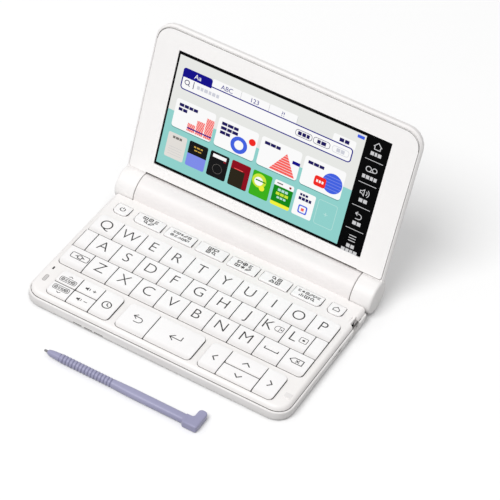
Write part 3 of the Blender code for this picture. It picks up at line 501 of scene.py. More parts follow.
def glyphMesh(text, size, thin):
    # A text object turned into a mesh; its outline is drawn in by "thin" to lighten the strokes
    curve = bpy.data.curves.new("glyph", "FONT")
    curve.body = text
    curve.size = size
    curve.offset = -thin
    curve.extrude = 0.5
    curve.resolution_u = 6
    holder = addObject("glyph", curve)
    bpy.context.view_layer.update()
    mesh = bpy.data.meshes.new_from_object(holder.evaluated_get(bpy.context.evaluated_depsgraph_get()))
    points = readMesh(mesh.vertices, "co")
    faces = [list(face.vertices) for face in mesh.polygons]
    bpy.data.objects.remove(holder)
    bpy.data.curves.remove(curve)
    bpy.data.meshes.remove(mesh)
    return points, faces


capShare = np.ptp(glyphMesh("H", 10.0, 0.0)[0][:, 1]) / 10.0  # height of a capital, as a share of the size


def letterArrays(mark):
    size = (mark["height"] + 2 * mark["thin"]) / capShare
    points, faces = glyphMesh(mark["text"], size, mark["thin"])
    middle = (points[:, 0].min() + points[:, 0].max()) / 2
    x = (points[:, 0] - middle) * mark["stretch"] + mark["place"][0]
    y = points[:, 1] - mark["thin"] - mark["height"] / 2 + mark["place"][1]
    return np.stack((x, y), axis=1), (points[:, 2] > 0).astype(float), faces


arraysOf = {"fill": fillArrays, "stroke": strokeArrays, "letters": letterArrays}


def printMarks(name, marks, place, inks, body, sunk=0.02, lift=0.012):
    # All the marks of one piece. A mark's top stands "lift" above the surface for each layer, and its foot is
    # sunk in it
    flats, heights, faces, indices, used, start = [], [], [], [], [], 0
    for mark in marks:
        flat, height, own = arraysOf[mark["kind"]](mark)
        if mark["ink"] not in used:
            used.append(mark["ink"])
        flats.append(flat)
        heights.append(np.where(height > 0, mark["layer"] * lift, -sunk))
        faces += [[index + start for index in face] for face in own]
        indices += [used.index(mark["ink"])] * len(own)
        start += len(flat)
    flat, height = np.concatenate(flats), np.concatenate(heights)
    points = place(flat[:, 0], flat[:, 1], height) * mm
    return makePiece(name, points, faces, [inks[ink] for ink in used], body, indices=indices)


# Keys: a cap with rounded edges whose front turns down, and the print on it
key = {
    "edge": 0.26,  # mm, radius of the rounded rim
    "edgeSteps": 4,
    "wallTurn": 0.3,  # faces that look up less than this take the dark wall colour, painted shade for the gap between keys
    "frontTurn": 0.93,  # the same for faces that look to the front, over the gap to the next key
    "frontWay": -0.2,  # such faces point at least this far to the front
    "frontLook": -0.6,  # in front of the open deck the wall's painted shade is only below the deck
    "corner": 0.45,
    "groupCorner": 2.4,  # where a key is at the corner of its group
    "gap": 0.4,
    "tileCover": 0.015,
    "sunk": 0.12,  # how far below the deck a function key's wall, painted dark as shade, ends
    "cuts": (0.15, 0.4, 0.65, 0.85, 0.95, 1.0),
    "slopeDrop": 0.42, "slopeBend": 1.15,
    "slopeShadeGain": 1.25,  # over 1, the slope's painted shade is full before its foot
    "functionFall": 0.65,  # a function key comes down to the deck at its rear
    "slopeShare": {"letter": 0.26, "control": 0.16},
    "letterLift": 0.92,
    "letterLeft": -0.35,  # the letters stand a little behind the middle
    "letterHeight": 6.3,
    "letterStretch": 0.94,
    "letterThin": 0.10,
}
deckTop = 8.1
openFronts = "shift z x c v b n m space delete page_down volume_down history back enter left down right".split()
functionNames = ["power"] + [f"func_{number}" for number in range(1, 7)] + ["home"]
controlNames = ["page_up", "page_down", "volume_up", "volume_down", "history", "back", "enter",
                "left", "up", "down", "right"]
bigCorners = {  # front left, front right, rear right, rear left
    "q": (0, 0, 0, 1), "p": (0, 0, 1, 0), "shift": (1, 0, 0, 0), "delete": (0, 1, 0, 0),
    "power": (1, 1, 0, 0), "home": (1, 1, 0, 0), "func_1": (1, 0, 0, 0), "func_6": (0, 1, 0, 0),
    "page_up": (0, 0, 0, 1), "page_down": (1, 0, 0, 0), "history": (0, 1, 1, 0),
    "back": (1, 0, 0, 1), "enter": (0, 1, 1, 0), "left": (1, 0, 0, 1), "right": (0, 1, 1, 0),
}


def keyKind(short):
    if short in functionNames:
        return "function"
    return "control" if short in controlNames else "letter"


def keyBox(short):
    # Left, right, front, rear, foot and top of a key, in millimetres
    low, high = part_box("key_" + short)
    return tuple(value / mm for value in (low.x, high.x, low.y, high.y, low.z, high.z))


def keyDrop(kind, share):
    # How far the top lies below its highest line: a curved fall over the front, or an even fall to the rear
    if kind == "function":
        return key["functionFall"] * share
    slope = key["slopeShare"][kind]
    return key["slopeDrop"] * np.clip(1.0 - share / slope, 0.0, 1.0) ** key["slopeBend"]


def capRings(box, radii, kind):
    # Rings of the rounded outline: foot, wall, then a quarter circle inwards, r (1 - cos t) in and
    # r (1 - sin t) down
    left, right, front, rear, foot, top = box
    turn = np.radians(np.linspace(0.0, 90.0, key["edgeSteps"] + 1))
    insets = np.concatenate(((0.0, 0.0), key["edge"] * (1 - np.cos(turn))))
    wall = deckTop - (key["sunk"] if kind == "function" else 0.0)
    drops = np.concatenate(((top - foot, top - wall), key["edge"] * (1 - np.sin(turn))))
    rings = []
    for inset, drop in zip(insets, drops):
        outline = cornerOutline((left, right, front, rear), radii, inset)
        rings.append(np.column_stack((outline, np.full(len(outline), top - drop))))
    return np.array(rings)


def makeCap(name, box, radii, kind, body, replaced, openFront=False):
    # The rings, cut across where the front turns down, then bent down; walls in narrow gaps take a dark colour as
    # painted shade
    front, depth = box[2], box[3] - box[2]
    rings = capRings(box, radii, kind)
    mesh = bpy.data.meshes.new(name)
    mesh.from_pydata(rings.reshape(-1, 3).tolist(), [], ringFaces(*rings.shape[:2]))
    for finish in ("cap", "capWall"):
        mesh.materials.append(plastic[finish])
    work = bmesh.new()
    work.from_mesh(mesh)
    slope = key["slopeShare"].get(kind, 0.0)
    for share in key["cuts"] if slope else ():
        bmesh.ops.bisect_plane(work, geom=work.verts[:] + work.edges[:] + work.faces[:], dist=1e-6,
                               plane_co=(0, front + depth * slope * share, 0), plane_no=(0, 1, 0))
    work.to_mesh(mesh)
    work.free()
    points = readMesh(mesh.vertices, "co")
    share = np.clip((points[:, 1] - front) / depth, 0.0, 1.0)
    points[:, 2] -= np.where(points[:, 2] > deckTop + 1e-3, keyDrop(kind, share), 0.0)
    mesh.vertices.foreach_set("co", (points * mm).ravel())
    mesh.update()
    # Painted shade: "fall" is how far down the front slope the cap takes the darker tone
    if slope:
        fall = mesh.attributes.new("fall", "FLOAT", "POINT")
        fall.data.foreach_set("value", np.clip(key["slopeShadeGain"] * (1 - share / slope), 0.0, 1.0))
    # Painted shade: wall faces in narrow gaps, and front bevels over the gap, take the dark colour
    along, up = readMesh(mesh.polygons, "normal")[:, 1:].T
    heights = readMesh(mesh.polygons, "center")[:, 2]
    wall, raised = up < key["wallTurn"], heights > (deckTop - key["sunk"]) * mm
    if openFront:
        wall &= ~(raised & (along < key["frontLook"]))
    else:
        wall |= (up < key["frontTurn"]) & (along < key["frontWay"])
    mesh.polygons.foreach_set("material_index", wall.astype(np.int32))
    placePiece(name, mesh, body, replaced)


def cornerRadii(short):
    return [key["groupCorner"] if big else key["corner"] for big in bigCorners.get(short, (0, 0, 0, 0))]


def fixedTiles():
    # The half tiles beside the middle row: like keys, but they stand over those of the deck and don't move
    gap, cover = key["gap"], key["tileCover"]
    row, rowEnd, last = keyBox("a"), keyBox("l"), keyBox("delete")
    spans = {"tile_left": (keyBox("shift")[0], row[0] - gap), "tile_right": (rowEnd[1] + gap, last[1])}
    for name, (left, right) in spans.items():
        box = (left - cover, right + cover, row[2] - cover, row[3] + cover, deckTop - 0.6, row[5] + cover)
        makeCap(name, box, [key["corner"]] * 4, "letter", "case", ())


def signShapes():
    # Small plain pictures, 2 units high about their middle. Each is a list of lines, closed (True) or open
    page = cornerOutline((-0.8, 0.8, -1, 1), [0.25] * 4, steps=2)
    return {
        "book": [([(-1, -0.7), (-1, 0.8), (0, 0.5), (1, 0.8), (1, -0.7), (0, -1)], True),
                 ([(0, 0.5), (0, -1)], False)],
        "page": [(page, True), ([(-0.4, 0.35), (0.4, 0.35)], False), ([(-0.4, -0.35), (0.4, -0.35)], False)],
        "list": [([(-0.9, rise), (reach, rise)], False) for rise, reach in ((0.8, 0.9), (0.0, 0.5), (-0.8, 0.9))],
        "lens": [(circleOutline(-0.25, 0.25, 0.7, 14), True), ([(0.25, -0.25), (1, -1)], False)],
        "globe": [(circleOutline(0, 0, 1, 16), True), ([(-1, 0), (1, 0)], False), ([(0, -1), (0, 1)], False)],
        "chart": [([(-0.8, -1), (-0.8, 0)], False), ([(0, -1), (0, 1)], False), ([(0.8, -1), (0.8, 0.4)], False)],
        "talk": [([(-1, 0.8), (1, 0.8), (1, -0.3), (0, -0.3), (-0.6, -1), (-0.5, -0.3), (-1, -0.3)], True)],
        "pen": [([(-1, -1), (-0.7, -0.1), (0.4, 1), (1, 0.4), (-0.1, -0.7)], True)],
        "star": [([(0, 1), (0, -1)], False), ([(-0.87, 0.5), (0.87, -0.5)], False),
                 ([(-0.87, -0.5), (0.87, 0.5)], False)],
        "hill": [([(-1, -0.8), (-0.2, 0.9), (0.3, 0), (0.6, 0.4), (1, -0.8)], True)],
    }


signs = signShapes()
functionWords = {  # the two short rows of pictures on each function key
    1: ("book page list", "lens pen"), 2: ("list book star pen page", "globe list chart book talk"),
    3: ("book talk", "page lens"), 4: ("talk globe list", "book star pen"),
    5: ("lens page", "hill book"), 6: ("list star page pen talk list", "chart book lens"),
}


def signRow(words, x, y, half, pitch, width):
    # Pictures side by side, centred on a place
    marks, words = [], words.split()
    for number, sign in enumerate(words):
        middle = np.array((x + (number - (len(words) - 1) / 2) * pitch, y))
        marks += [stroke(np.asarray(points, float) * half + middle, width, closed=closed)
                  for points, closed in signs[sign]]
    return marks


def functionMarks(number):
    # A row with few pictures has larger ones
    marks = []
    for words, y in zip(functionWords[number], (1.42, -1.42)):
        sizes = (1.12, 3.1, 0.5) if len(words.split()) < 4 else (0.86, 2.15, 0.38)
        marks += signRow(words, 0.0, y, *sizes)
    return marks


def speaker(y, sign):
    # A loudspeaker, one sound wave, and a plus or minus
    body = np.array([(-2.7, -0.5), (-1.9, -0.5), (-1.0, -1.35), (-1.0, 1.35), (-1.9, 0.5), (-2.7, 0.5)])
    lines = [(circleOutline(-1.2, 0.0, 1.1, 8, -45, 90), 0.35, False), ([(1.4, 0.0), (3.3, 0.0)], 0.42, False)]
    if sign == "+":
        lines.append(([(2.35, -0.95), (2.35, 0.95)], 0.42, False))
    return [fill(body + (0.0, y), "ink"), *drawn(lines, 0.0, y)]


def chevron(y, direction, reach, rise, width):
    # Two strokes that meet in a point, turned to one of four sides
    tip = np.array([(-reach, -rise / 2), (0.0, rise / 2), (reach, -rise / 2)])
    angle = math.radians({"up": 0.0, "left": 90.0, "down": 180.0, "right": 270.0}[direction])
    turn = np.array(((math.cos(angle), math.sin(angle)), (-math.sin(angle), math.cos(angle))))
    return stroke(tip @ turn + (0.0, y), width)


def rowOfBars(x, y, widths, height, ink="ink", gap=0.35, layer=1):
    # Short blocks side by side, which stand for words
    total = sum(widths) + gap * (len(widths) - 1)
    marks, here = [], x - total / 2
    for width in widths:
        marks.append(bar(here + width / 2, y, width, height, ink, layer))
        here += width + gap
    return marks


def pagePill(y, direction):
    # A rounded box with page signs in it, and a small chevron outside it
    box = cornerOutline((-4.4, 4.4, y - 1.55, y + 1.55), [0.8] * 4, steps=4)
    marks = [stroke(box, 0.32, closed=True), *signRow("page list book page", 0.0, y, 0.82, 1.95, 0.36)]
    return marks + [chevron(y + (3.0 if direction == "up" else -3.0), direction, 1.1, 0.8, 0.36)]


def returnArrow(y, size):
    # The bent arrow of an enter key
    lines = ([(1.0, 0.62), (1.0, -0.2), (-0.75, -0.2)], [(-0.15, 0.4), (-0.85, -0.2), (-0.15, -0.8)])
    return drawn([(np.array(line) * size, 0.52, False) for line in lines], 0.0, y)


def backArrow(y, size):
    # A half turn to the left that ends in an arrow head
    line = np.concatenate(([(-0.8, 0.52)], circleOutline(0.25, -0.1, 0.62, 12, 90, -180), [(-0.5, -0.72)]))
    head = np.array([(-0.3, 1.05), (-0.95, 0.52), (-0.3, -0.02)])
    return drawn([(line * size, 0.5, False), (head * size, 0.5, False)], 0.0, y)


def keyMarks(short):
    # What is printed on each key, in millimetres from the key's middle
    lift = key["letterLift"]
    if len(short) == 1:
        x = {"k": -2.5, "l": -2.1}.get(short, key["letterLeft"])
        marks = [letters(short.upper(), x, lift, key["letterHeight"], stretch=key["letterStretch"],
                         thin=key["letterThin"])]
        if short == "k":
            box = cornerOutline((1.1, 5.4, lift - 1.8, lift + 1.8), (1.6, 0.6, 0.6, 1.6), steps=4)
            marks += [stroke(box, 0.32, closed=True), stroke([(3.5, lift - 1.7), (3.5, lift + 1.7)], 0.3),
                      bar(4.5, lift, 0.8, 0.8, "ink", radius=0.3)]
        if short == "l":
            box = cornerOutline((1.1, 5.1, lift - 1.8, lift + 1.8), [0.6] * 4, steps=3)
            marks += [stroke(box, 0.32, closed=True), bar(3.1, lift, 1.4, 1.2, "ink", radius=0.4)]
        return marks
    if short.startswith("func"):
        return functionMarks(int(short[-1]))
    plain = {
        "power": [stroke(circleOutline(0.0, -0.1, 1.35, 20, 125, 290), 0.5), stroke([(0, 0.3), (0, 1.75)], 0.5)],
        "home": [stroke([(-1.6, 0.1), (0, 1.6), (1.6, 0.1), (1.6, -1.4), (-1.6, -1.4)], 0.45, closed=True)],
        "shift": drawn([
            (cornerOutline((-3.7, 6.1, -1.5, 2.4), [0.9] * 4, steps=4), 0.4, True),
            ([(-1.1, 0.4), (1.2, 1.8), (3.5, 0.4), (2.2, 0.4), (2.2, -0.7), (0.2, -0.7), (0.2, 0.4)], 0.48, True),
        ], 0.0, lift),
        "space": drawn([([(-3.6, 0.6), (-3.6, -0.9), (3.6, -0.9), (3.6, 0.6)], 0.55, False)], 0.0, lift),
        "delete": drawn([
            ([(-3.6, 0.0), (-1.7, 1.7), (3.3, 1.7), (3.3, -1.7), (-1.7, -1.7)], 0.5, True),
            ([(-0.4, 0.85), (1.4, -0.85)], 0.5, False), ([(-0.4, -0.85), (1.4, 0.85)], 0.5, False)], 0.0, lift),
        "page_up": pagePill(-1.3, "up"),
        "page_down": pagePill(1.4, "down"),
        "volume_up": speaker(-0.3, "+"),
        "volume_down": speaker(0.2, "-"),
        "history": [stroke(circleOutline(0, 0, 2.3), 0.6, closed=True),
                    stroke([(0, 1.4), (0, 0), (1.2, -0.75)], 0.55)],
        "back": backArrow(0.3, 2.9),
        "enter": returnArrow(0.4, 3.3),
    }
    return plain[short] if short in plain else [chevron(0.0, short, 2.0, 1.9, 0.62)]


def printKey(short):
    left, right, front, rear, _, top = keyBox(short)
    middle, depth = ((left + right) / 2, (front + rear) / 2), rear - front
    kind = keyKind(short)

    def place(x, y, height):
        share = (y + depth / 2) / depth
        return np.column_stack((middle[0] + x, middle[1] + y, top - keyDrop(kind, share) + height))

    printMarks("print_" + short, keyMarks(short), place, {"ink": plastic["ink"]}, "key_" + short)


keyNames = [name[len("key_"):] for name in nodes if name.startswith("key_") and name != "key_membrane"]
for short in keyNames:
    makeCap("cap_" + short, keyBox(short), cornerRadii(short), keyKind(short), "key_" + short,
            ("key_" + short,), keyKind(short) == "function" or short in openFronts)
    printKey(short)
fixedTiles()
print("keys:", len(keyNames))


# Shells of the case, the barrel and the lid
shells = (
    ("bottom_case", "bottom_shell", "shell", "case"),
    ("top_case", "deck_shell", "deck", "case"),
    ("battery_cover", "barrel_cover", "shell", "battery_cover"),
    ("lid_back_cover", "lid_shell", "shell", "lid"),
    ("lid_front_panel", "lid_bezel", "bezel", "lid"),
)
shellParts = {"feetBelow": -0.01, "barrelFrom": (34.4, 8.0)}  # mm, where the feet and the barrel begin
for node, name, finish, body in shells:
    piece = mergedCopy(node, name, plastic[finish], body)
    if name == "bottom_shell":
        paintWhere(piece, plastic["rubber"], lambda middles: middles[:, 2] < shellParts["feetBelow"])
    if name == "deck_shell":
        # Painted shade: the deck shell's faces on the barrel take a greyer copy of its white
        behind, above = shellParts["barrelFrom"]
        paintWhere(piece, plastic["barrel"], lambda middles: (middles[:, 1] > behind) & (middles[:, 2] > above))
for node, name, material, body, slot in (
        ("display_panel", "display_glass", screenInks["black"], "lid", "display"),
        ("key_membrane", "dome_sheet", plastic["rubber"], "case", "membrane"),
        ("main_board", "circuit_board", metals["board"], "case", "board"),
        ("battery_pair", "cells", metals["cells"], "case", "battery"),
        ("hinge_shaft_left", "shaft_left", metals["steel"], "case", "shaft"),
        ("hinge_shaft_right", "shaft_right", metals["steel"], "case", "shaft")):
    mergedCopy(node, name, material, body)
print("shells done")


# The lid's angle and axis
lid = {
    "angle": 78.0,
    "glassBack": 0.56,  # the display's face lies this far behind the front of the lid
}
hinge = [value / mm for value in joints["lid_hinge"]["pos_m"]]


# Small fittings in the shells
fitting = {
    "side": 73.3, "front": -52.462, "portDepth": 0.8,  # mm
    "play": 0.02,  # how far a filling stands clear of, or over, what it lies on
    "slit": (16.07, 2.5, 4.1, 0.40, 0.25),  # middle along, middle up, length, height, set back
    "jack": (4.94, 3.5, 3.9, 1.5, 0.12),
    "jackHole": 0.72,
    "socket": (-0.11, 3.0, 4.8, 1.3, 0.3),
    "micSlot": (-68.17, -31.85, 0.8, 2.2),
    "lampPill": (-67.73, -39.94, 2.0, 5.0),
    "pad": (68.3, -40.9, 3.6),
    "seamLow": 5.37, "seamHigh": 5.63, "seamInset": 0.85, "seamWidth": 0.8,
    "slits": ((-41.2, 4.8), (-35.0, 4.6), (-29.2, 5.0)),  # middle, length
    "slitUp": 1.39, "slitHeight": 0.6, "slitDepths": (0.12, 0.78),
    "barrelSide": 62.1, "knuckleSide": 62.7, "ringRadius": 8.72, "ringWidth": 0.8,
    "siloSpan": (-17.9, 70.5), "siloMiddle": 22.962, "siloWidth": 5.15, "siloUp": (0.9, 5.25),
    "siloShadeInsets": (0.02, 0.09),
    "tileLine": -69.6,
    "caseCorner": 8.0,
    "rear": 30.0,
}


def blockOf(name, box, material, body, radius):
    # A box with rounded edges; box = left, right, front, rear, low, high in millimetres
    x, y, z = np.meshgrid(box[0:2], box[2:4], box[4:6], indexing="ij")
    points = np.stack((x.ravel(), y.ravel(), z.ravel()), axis=1)
    faces = [(0, 1, 3, 2), (4, 6, 7, 5), (0, 4, 5, 1), (2, 3, 7, 6), (0, 2, 6, 4), (1, 5, 7, 3)]
    piece = makePiece(name, points * mm, faces, [material], body)
    roundEdges(piece, radius)


def sidePlate(name, shape, material):
    along, up, length, height, setBack = shape
    side = fitting["side"]
    box = (side - fitting["portDepth"] + fitting["play"], side - setBack, along - length / 2, along + length / 2,
           up - height / 2, up + height / 2)
    blockOf(name, box, material, "case", 0.08)


def onDeck(x, y, height):
    return np.column_stack((x, y, deckTop + height))


def makeFittings():
    # Painted shade: a near-black plate at the back of the card slit, and a near-black disc for the jack's hole
    sidePlate("card_slit_shade", fitting["slit"], plastic["port"])
    sidePlate("jack_plate", fitting["jack"], plastic["flap"])
    sidePlate("socket_plate", fitting["socket"], plastic["lamp"])
    along, up, _, _, setBack = fitting["jack"]
    hole = circleOutline(along, up, fitting["jackHole"], 24)
    side = fitting["side"] - setBack
    printMarks("jack_hole_shade", [fill(hole, "port")], lambda y, z, height: np.column_stack((side + height, y, z)),
               plastic, "case", lift=0.02)
    # Painted shade: a near-black fill in the microphone slot
    for name, finish, place in (("mic_slot_shade", "port", "micSlot"), ("lamp_pill", "lamp", "lampPill")):
        x, y, width, length = fitting[place]
        box, ends = (x - width / 2, x + width / 2, y - length / 2, y + length / 2), [width * 0.49] * 4
        marks = [fill(cornerOutline(box, ends, inset=-0.03), finish)]
        if finish == "lamp":
            # Painted shade: a grey rim inside the lamp's hollow
            marks.append(stroke(cornerOutline(box, ends, inset=0.16), 0.22, "joint", closed=True, layer=2))
        printMarks(name, marks, onDeck, plastic, "case", sunk=0.5)
    x, y, size = fitting["pad"]
    half = size / 2 + fitting["play"]
    blockOf("closing_pad", (x - half, x + half, y - half, y + half, deckTop - 0.3, deckTop + 0.32),
            plastic["pad"], "case", 0.3)


def makeSeams():
    # Painted shade: a dark band stands in the gap between the two halves of the case
    low, high, side, inset = (fitting[part] for part in ("seamLow", "seamHigh", "side", "seamInset"))
    corner = fitting["caseCorner"] + 1
    box = (-side, side, fitting["front"], fitting["rear"])
    outer, inner = (cornerOutline(box, (corner, corner, 1.0, 1.0), inset + more)
                    for more in (0.0, fitting["seamWidth"]))
    rings = [np.column_stack((ring, np.full(len(ring), z)))
             for ring, z in ((outer, low), (outer, high), (inner, high), (inner, low))]
    makePiece("case_seam_shade", np.concatenate(rings) * mm, loopFaces(4, len(outer)), [plastic["seam"]],
              "case")


def makeTube(name, axis, outer, inner, ends, material):
    # A short tube along x: each end's circles (y, z) = centre + r (cos t, sin t)
    around = circleOutline(axis[0], axis[1], 1.0, 96) - axis
    rings = [np.column_stack((np.full(len(around), x), axis + around * radius))
             for x, radius in ((ends[0], outer), (ends[1], outer), (ends[1], inner), (ends[0], inner))]
    makePiece(name, np.concatenate(rings) * mm, loopFaces(4, len(around)), [material], "case")


def makePaintedShades():
    # Painted shade: dark rings in the joints of the barrel, a dark sheet inside the pen's silo, dark blocks in the
    # slits, and a dark line on one tile's edge
    for side, name in ((-1, "joint_shade_left"), (1, "joint_shade_right")):
        ends = sorted((side * (fitting["barrelSide"] + 0.03), side * (fitting["knuckleSide"] - 0.03)))
        radius = fitting["ringRadius"]
        makeTube(name, np.array(hinge[1:]), radius, radius - fitting["ringWidth"], ends, plastic["joint"])
    # Painted shade: a near-black sheet inside the pen's silo
    y, half = fitting["siloMiddle"], fitting["siloWidth"] / 2
    box, (start, end) = (y - half, y + half, *fitting["siloUp"]), fitting["siloSpan"]
    outer, inner = (cornerOutline(box, [0.1] * 4, inset, steps=1) for inset in fitting["siloShadeInsets"])
    rings = [np.column_stack((np.full(len(flat), x), flat))
             for x, flat in ((start, outer), (end, outer), (end, inner), (start, inner))]
    makePiece("silo_shade", np.concatenate(rings) * mm, loopFaces(4, len(outer)), [plastic["port"]],
              "case")
    # Painted shade: dark blocks inside the front slits
    half, up = fitting["slitHeight"] / 2, fitting["slitUp"]
    front, rear = (fitting["front"] + depth for depth in fitting["slitDepths"])
    for number, (x, length) in enumerate(fitting["slits"]):
        blockOf(f"front_slit_shade_{number}", (x - length / 2, x + length / 2, front, rear, up - half, up + half),
                plastic["seam"], "case", 0.05)
    # Painted shade: a dark line along the half tile's edge stands for the shade in its gap
    row, line = keyBox("a"), fitting["tileLine"]
    printMarks("tile_gap_shade", [stroke([(line, row[2] - 0.1), (line, row[3] + 0.1)], 0.3, "capWall")],
               onDeck, plastic, "case")


makeFittings()
makeSeams()
makePaintedShades()
print("fittings done")


# The picture on the display, laid out in millimetres across and up the lid from the hinge line
def onLid(x, up, height, back):
    # x, hinge + up (cos a, sin a) + out (-sin a, cos a)
    angle, out = math.radians(lid["angle"]), height - back
    y = hinge[1] + up * math.cos(angle) - out * math.sin(angle)
    z = hinge[2] + up * math.sin(angle) + out * math.cos(angle)
    return np.column_stack((x, y, z))


screen = {
    "left": -58.4, "right": 45.7, "low": 18.3, "high": 80.9, "tealLine": 49.8,
    "fieldLeft": -54.6, "fieldRight": 40.8, "fieldLow": 63.4, "fieldHigh": 71.0,
    "tabs": (-38.4, -22.2, -6.4, 9.3), "tabTop": 75.6,
    "cardLow": 41.4, "cardHigh": 57.6, "cardWidth": 22.6, "cardPitch": 24.4, "cardLeft": -54.9,
    "tileLow": 23.8, "tileHigh": 38.0, "tileWidth": 10.7, "tilePitch": 12.26, "tileLeft": -55.2,
    "paletteMiddle": 52.5, "paletteTop": 77.9, "palettePitch": 13.27,
    "sharp": 0.01,  # the radius of a corner that looks square
}


def panel(left, right, low, high, ink, layer, foot=screen["sharp"], top=0.9, steps=4):
    # A filled box with one radius for its lower corners and another for its upper ones
    return fill(cornerOutline((left, right, low, high), (foot, foot, top, top), steps=steps), ink, layer)


def screenBase():
    left, right, low, line, high = (screen[part] for part in ("left", "right", "low", "tealLine", "high"))
    middle, width = (left + right) / 2, right - left
    marks = [bar(middle, (low + high) / 2, width, high - low, "mist", 1),
             bar(middle, (low + line) / 2, width, line - low, "teal", 2)]
    left, right, low, high = (screen[part] for part in ("fieldLeft", "fieldRight", "fieldLow", "fieldHigh"))
    tabs = screen["tabs"]
    for start, end in zip(tabs, tabs[1:]):
        marks += [panel(start, end, high - 0.5, screen["tabTop"], "white", 2),
                  stroke([(end, high), (end, screen["tabTop"] - 0.6)], 0.22, "lineGrey", layer=3)]
    outline = cornerOutline((left, right, low, high), [1.7] * 4, steps=5)
    return marks + [panel(29.2, 41.6, high, 75.4, "white", 2), fill(outline, "white", 3),
                    stroke(outline, 0.62, "navy", closed=True, layer=4),
                    panel(left - 0.3, tabs[0], high - 1.0, 75.1, "navy", 5, top=1.4, steps=5)]


def screenWords():
    # Generic signs where the real screen has words: a letter pair, digits, a lens, a text cursor and grey bars
    marks = [letters(text, x, y, height, ink, layer=layer) for text, x, y, height, ink, layer in (
        ("Aa", -46.5, 72.6, 2.5, "white", 6), ("ABC", -30.2, 73.2, 2.4, "navy", 4),
        ("123", -14.3, 73.2, 2.4, "navy", 4), ("?!", 1.4, 73.2, 2.4, "navy", 4))]
    marks += rowOfBars(35.4, 73.3, (2.4, 2.4), 2.0, "ink", 0.5, 4)
    marks += [stroke(circleOutline(-51.6, 67.6, 1.25, 20), 0.42, closed=True, layer=5),
              stroke([(-50.7, 66.6), (-49.9, 65.8)], 0.42, layer=5),
              stroke([(-47.9, 65.4), (-47.9, 69.4)], 0.4, layer=5)]
    marks += rowOfBars(-39.6, 67.3, (1.5, 1.5, 2.0, 1.4, 1.8, 1.5), 1.9, "hint", 0.55, 5)
    pills = ((14.5, "ink", (2.0, 2.0, 1.6)), (24.4, "ink", (1.8, 2.6)), (34.8, "hint", (2.0, 2.0)))
    for middle, ink, bars in pills:
        pill = cornerOutline((middle - 4.5, middle + 4.5, 65.5, 68.9), [1.3] * 4, steps=5)
        marks += [stroke(pill, 0.26, ink, closed=True, layer=5), *rowOfBars(middle, 67.2, bars, 2.0, ink, 0.4, 5)]
    return marks + [bar(43.0, 79.1, 3.8, 1.7, "blue", 4, 0.3)]


def striped(outline, ink, layer, gap, pitch):
    # A filled shape crossed by white diagonal lines, each cut off at the shape's box
    marks = [fill(outline, ink, layer)]
    low = outline.min(axis=0)
    width, height = np.ptp(outline, axis=0)
    for place in np.arange(pitch, width + height, pitch):
        start = (low[0] + min(place, width), low[1] + max(0.0, place - width))
        end = (low[0] + max(0.0, place - height), low[1] + min(place, height))
        marks.append(stroke([start, end], gap, "white", layer=layer + 1))
    return marks


def screenCards():
    # Four cards with bars for words, then a picture on each
    marks = []
    low, high, width = screen["cardLow"], screen["cardHigh"], screen["cardWidth"]
    lefts = [screen["cardLeft"] + number * screen["cardPitch"] for number in range(4)]
    words = (((2.6, 2.4, 2.2, 2.4), (2.2, 2.4)), ((3.0, 3.2, 2.6), (3.2, 2.6, 3.2), (3.0, 2.4)),
             ((3.0, 2.8, 2.4),), ((2.8, 2.8, 2.6),))
    for left, lines in zip(lefts, words):
        marks += [panel(left, left + width, low - 0.45, high - 1.0, "tealShade", 3, 1.5, 1.5, 5),
                  panel(left, left + width, low, high, "white", 4, 1.4, 1.4, 5)]
        for row, bars in enumerate(lines):
            middle = left + 2.0 + (sum(bars) + 0.3 * (len(bars) - 1)) / 2
            marks += rowOfBars(middle, high - 2.9 - 2.5 * row, bars, 1.7, "ink", 0.3, 5)
    # Three striped blocks as steps, a wheel with a red dot, a striped hill with a flag, a striped disc
    steps, wheel, hill, disc = lefts
    for x, tall in ((8.6, 4.4), (13.4, 7.8), (18.2, 11.2)):
        box = (steps + x, steps + x + 4.3, low + 0.9, low + 0.9 + tall)
        marks += striped(cornerOutline(box, [screen["sharp"]] * 4, steps=1), "coral", 5, 0.2, 1.35)
    marks += [bar(steps + 15.6, low + 2.6, 14.0, 0.7, "navy", 7),
              stroke(circleOutline(wheel + 13.4, low + 5.4, 3.6, 28), 2.1, "blue", closed=True, layer=5),
              fill(circleOutline(wheel + 20.0, low + 10.0, 1.9, 20), "red", 6)]
    left, right, foot, tall = hill + 7.2, hill + 21.4, low + 0.8, 11.4
    marks.append(fill([(left, foot), (right, foot), (hill + 14.8, foot + tall)], "coral", 5))
    for rise in 1.4 * np.arange(1, 8):
        line = [(left + 7.6 * rise / tall, foot + rise), (right - 6.6 * rise / tall, foot + rise)]
        marks.append(stroke(line, 0.2, "white", layer=6))
    x, y, radius = disc + 16.8, low + 7.2, 5.5
    marks += [bar(hill + 20.6, low + 9.2, 4.2, 1.8, "navy", 7), fill(circleOutline(x, y, radius, 30), "blue", 5)]
    for rise in 1.7 * np.arange(-2, 3):
        half = math.sqrt(radius ** 2 - rise ** 2)
        marks.append(stroke([(x - half, y + rise), (x + half, y + rise)], 0.3, "sky", layer=6))
    return marks + [bar(disc + 10.4, low + 5.4, 6.4, 5.6, "red", 7, 1.2),
                    *rowOfBars(disc + 10.4, low + 5.4, (1.0, 1.0, 1.0), 1.4, "white", 0.5, 8)]


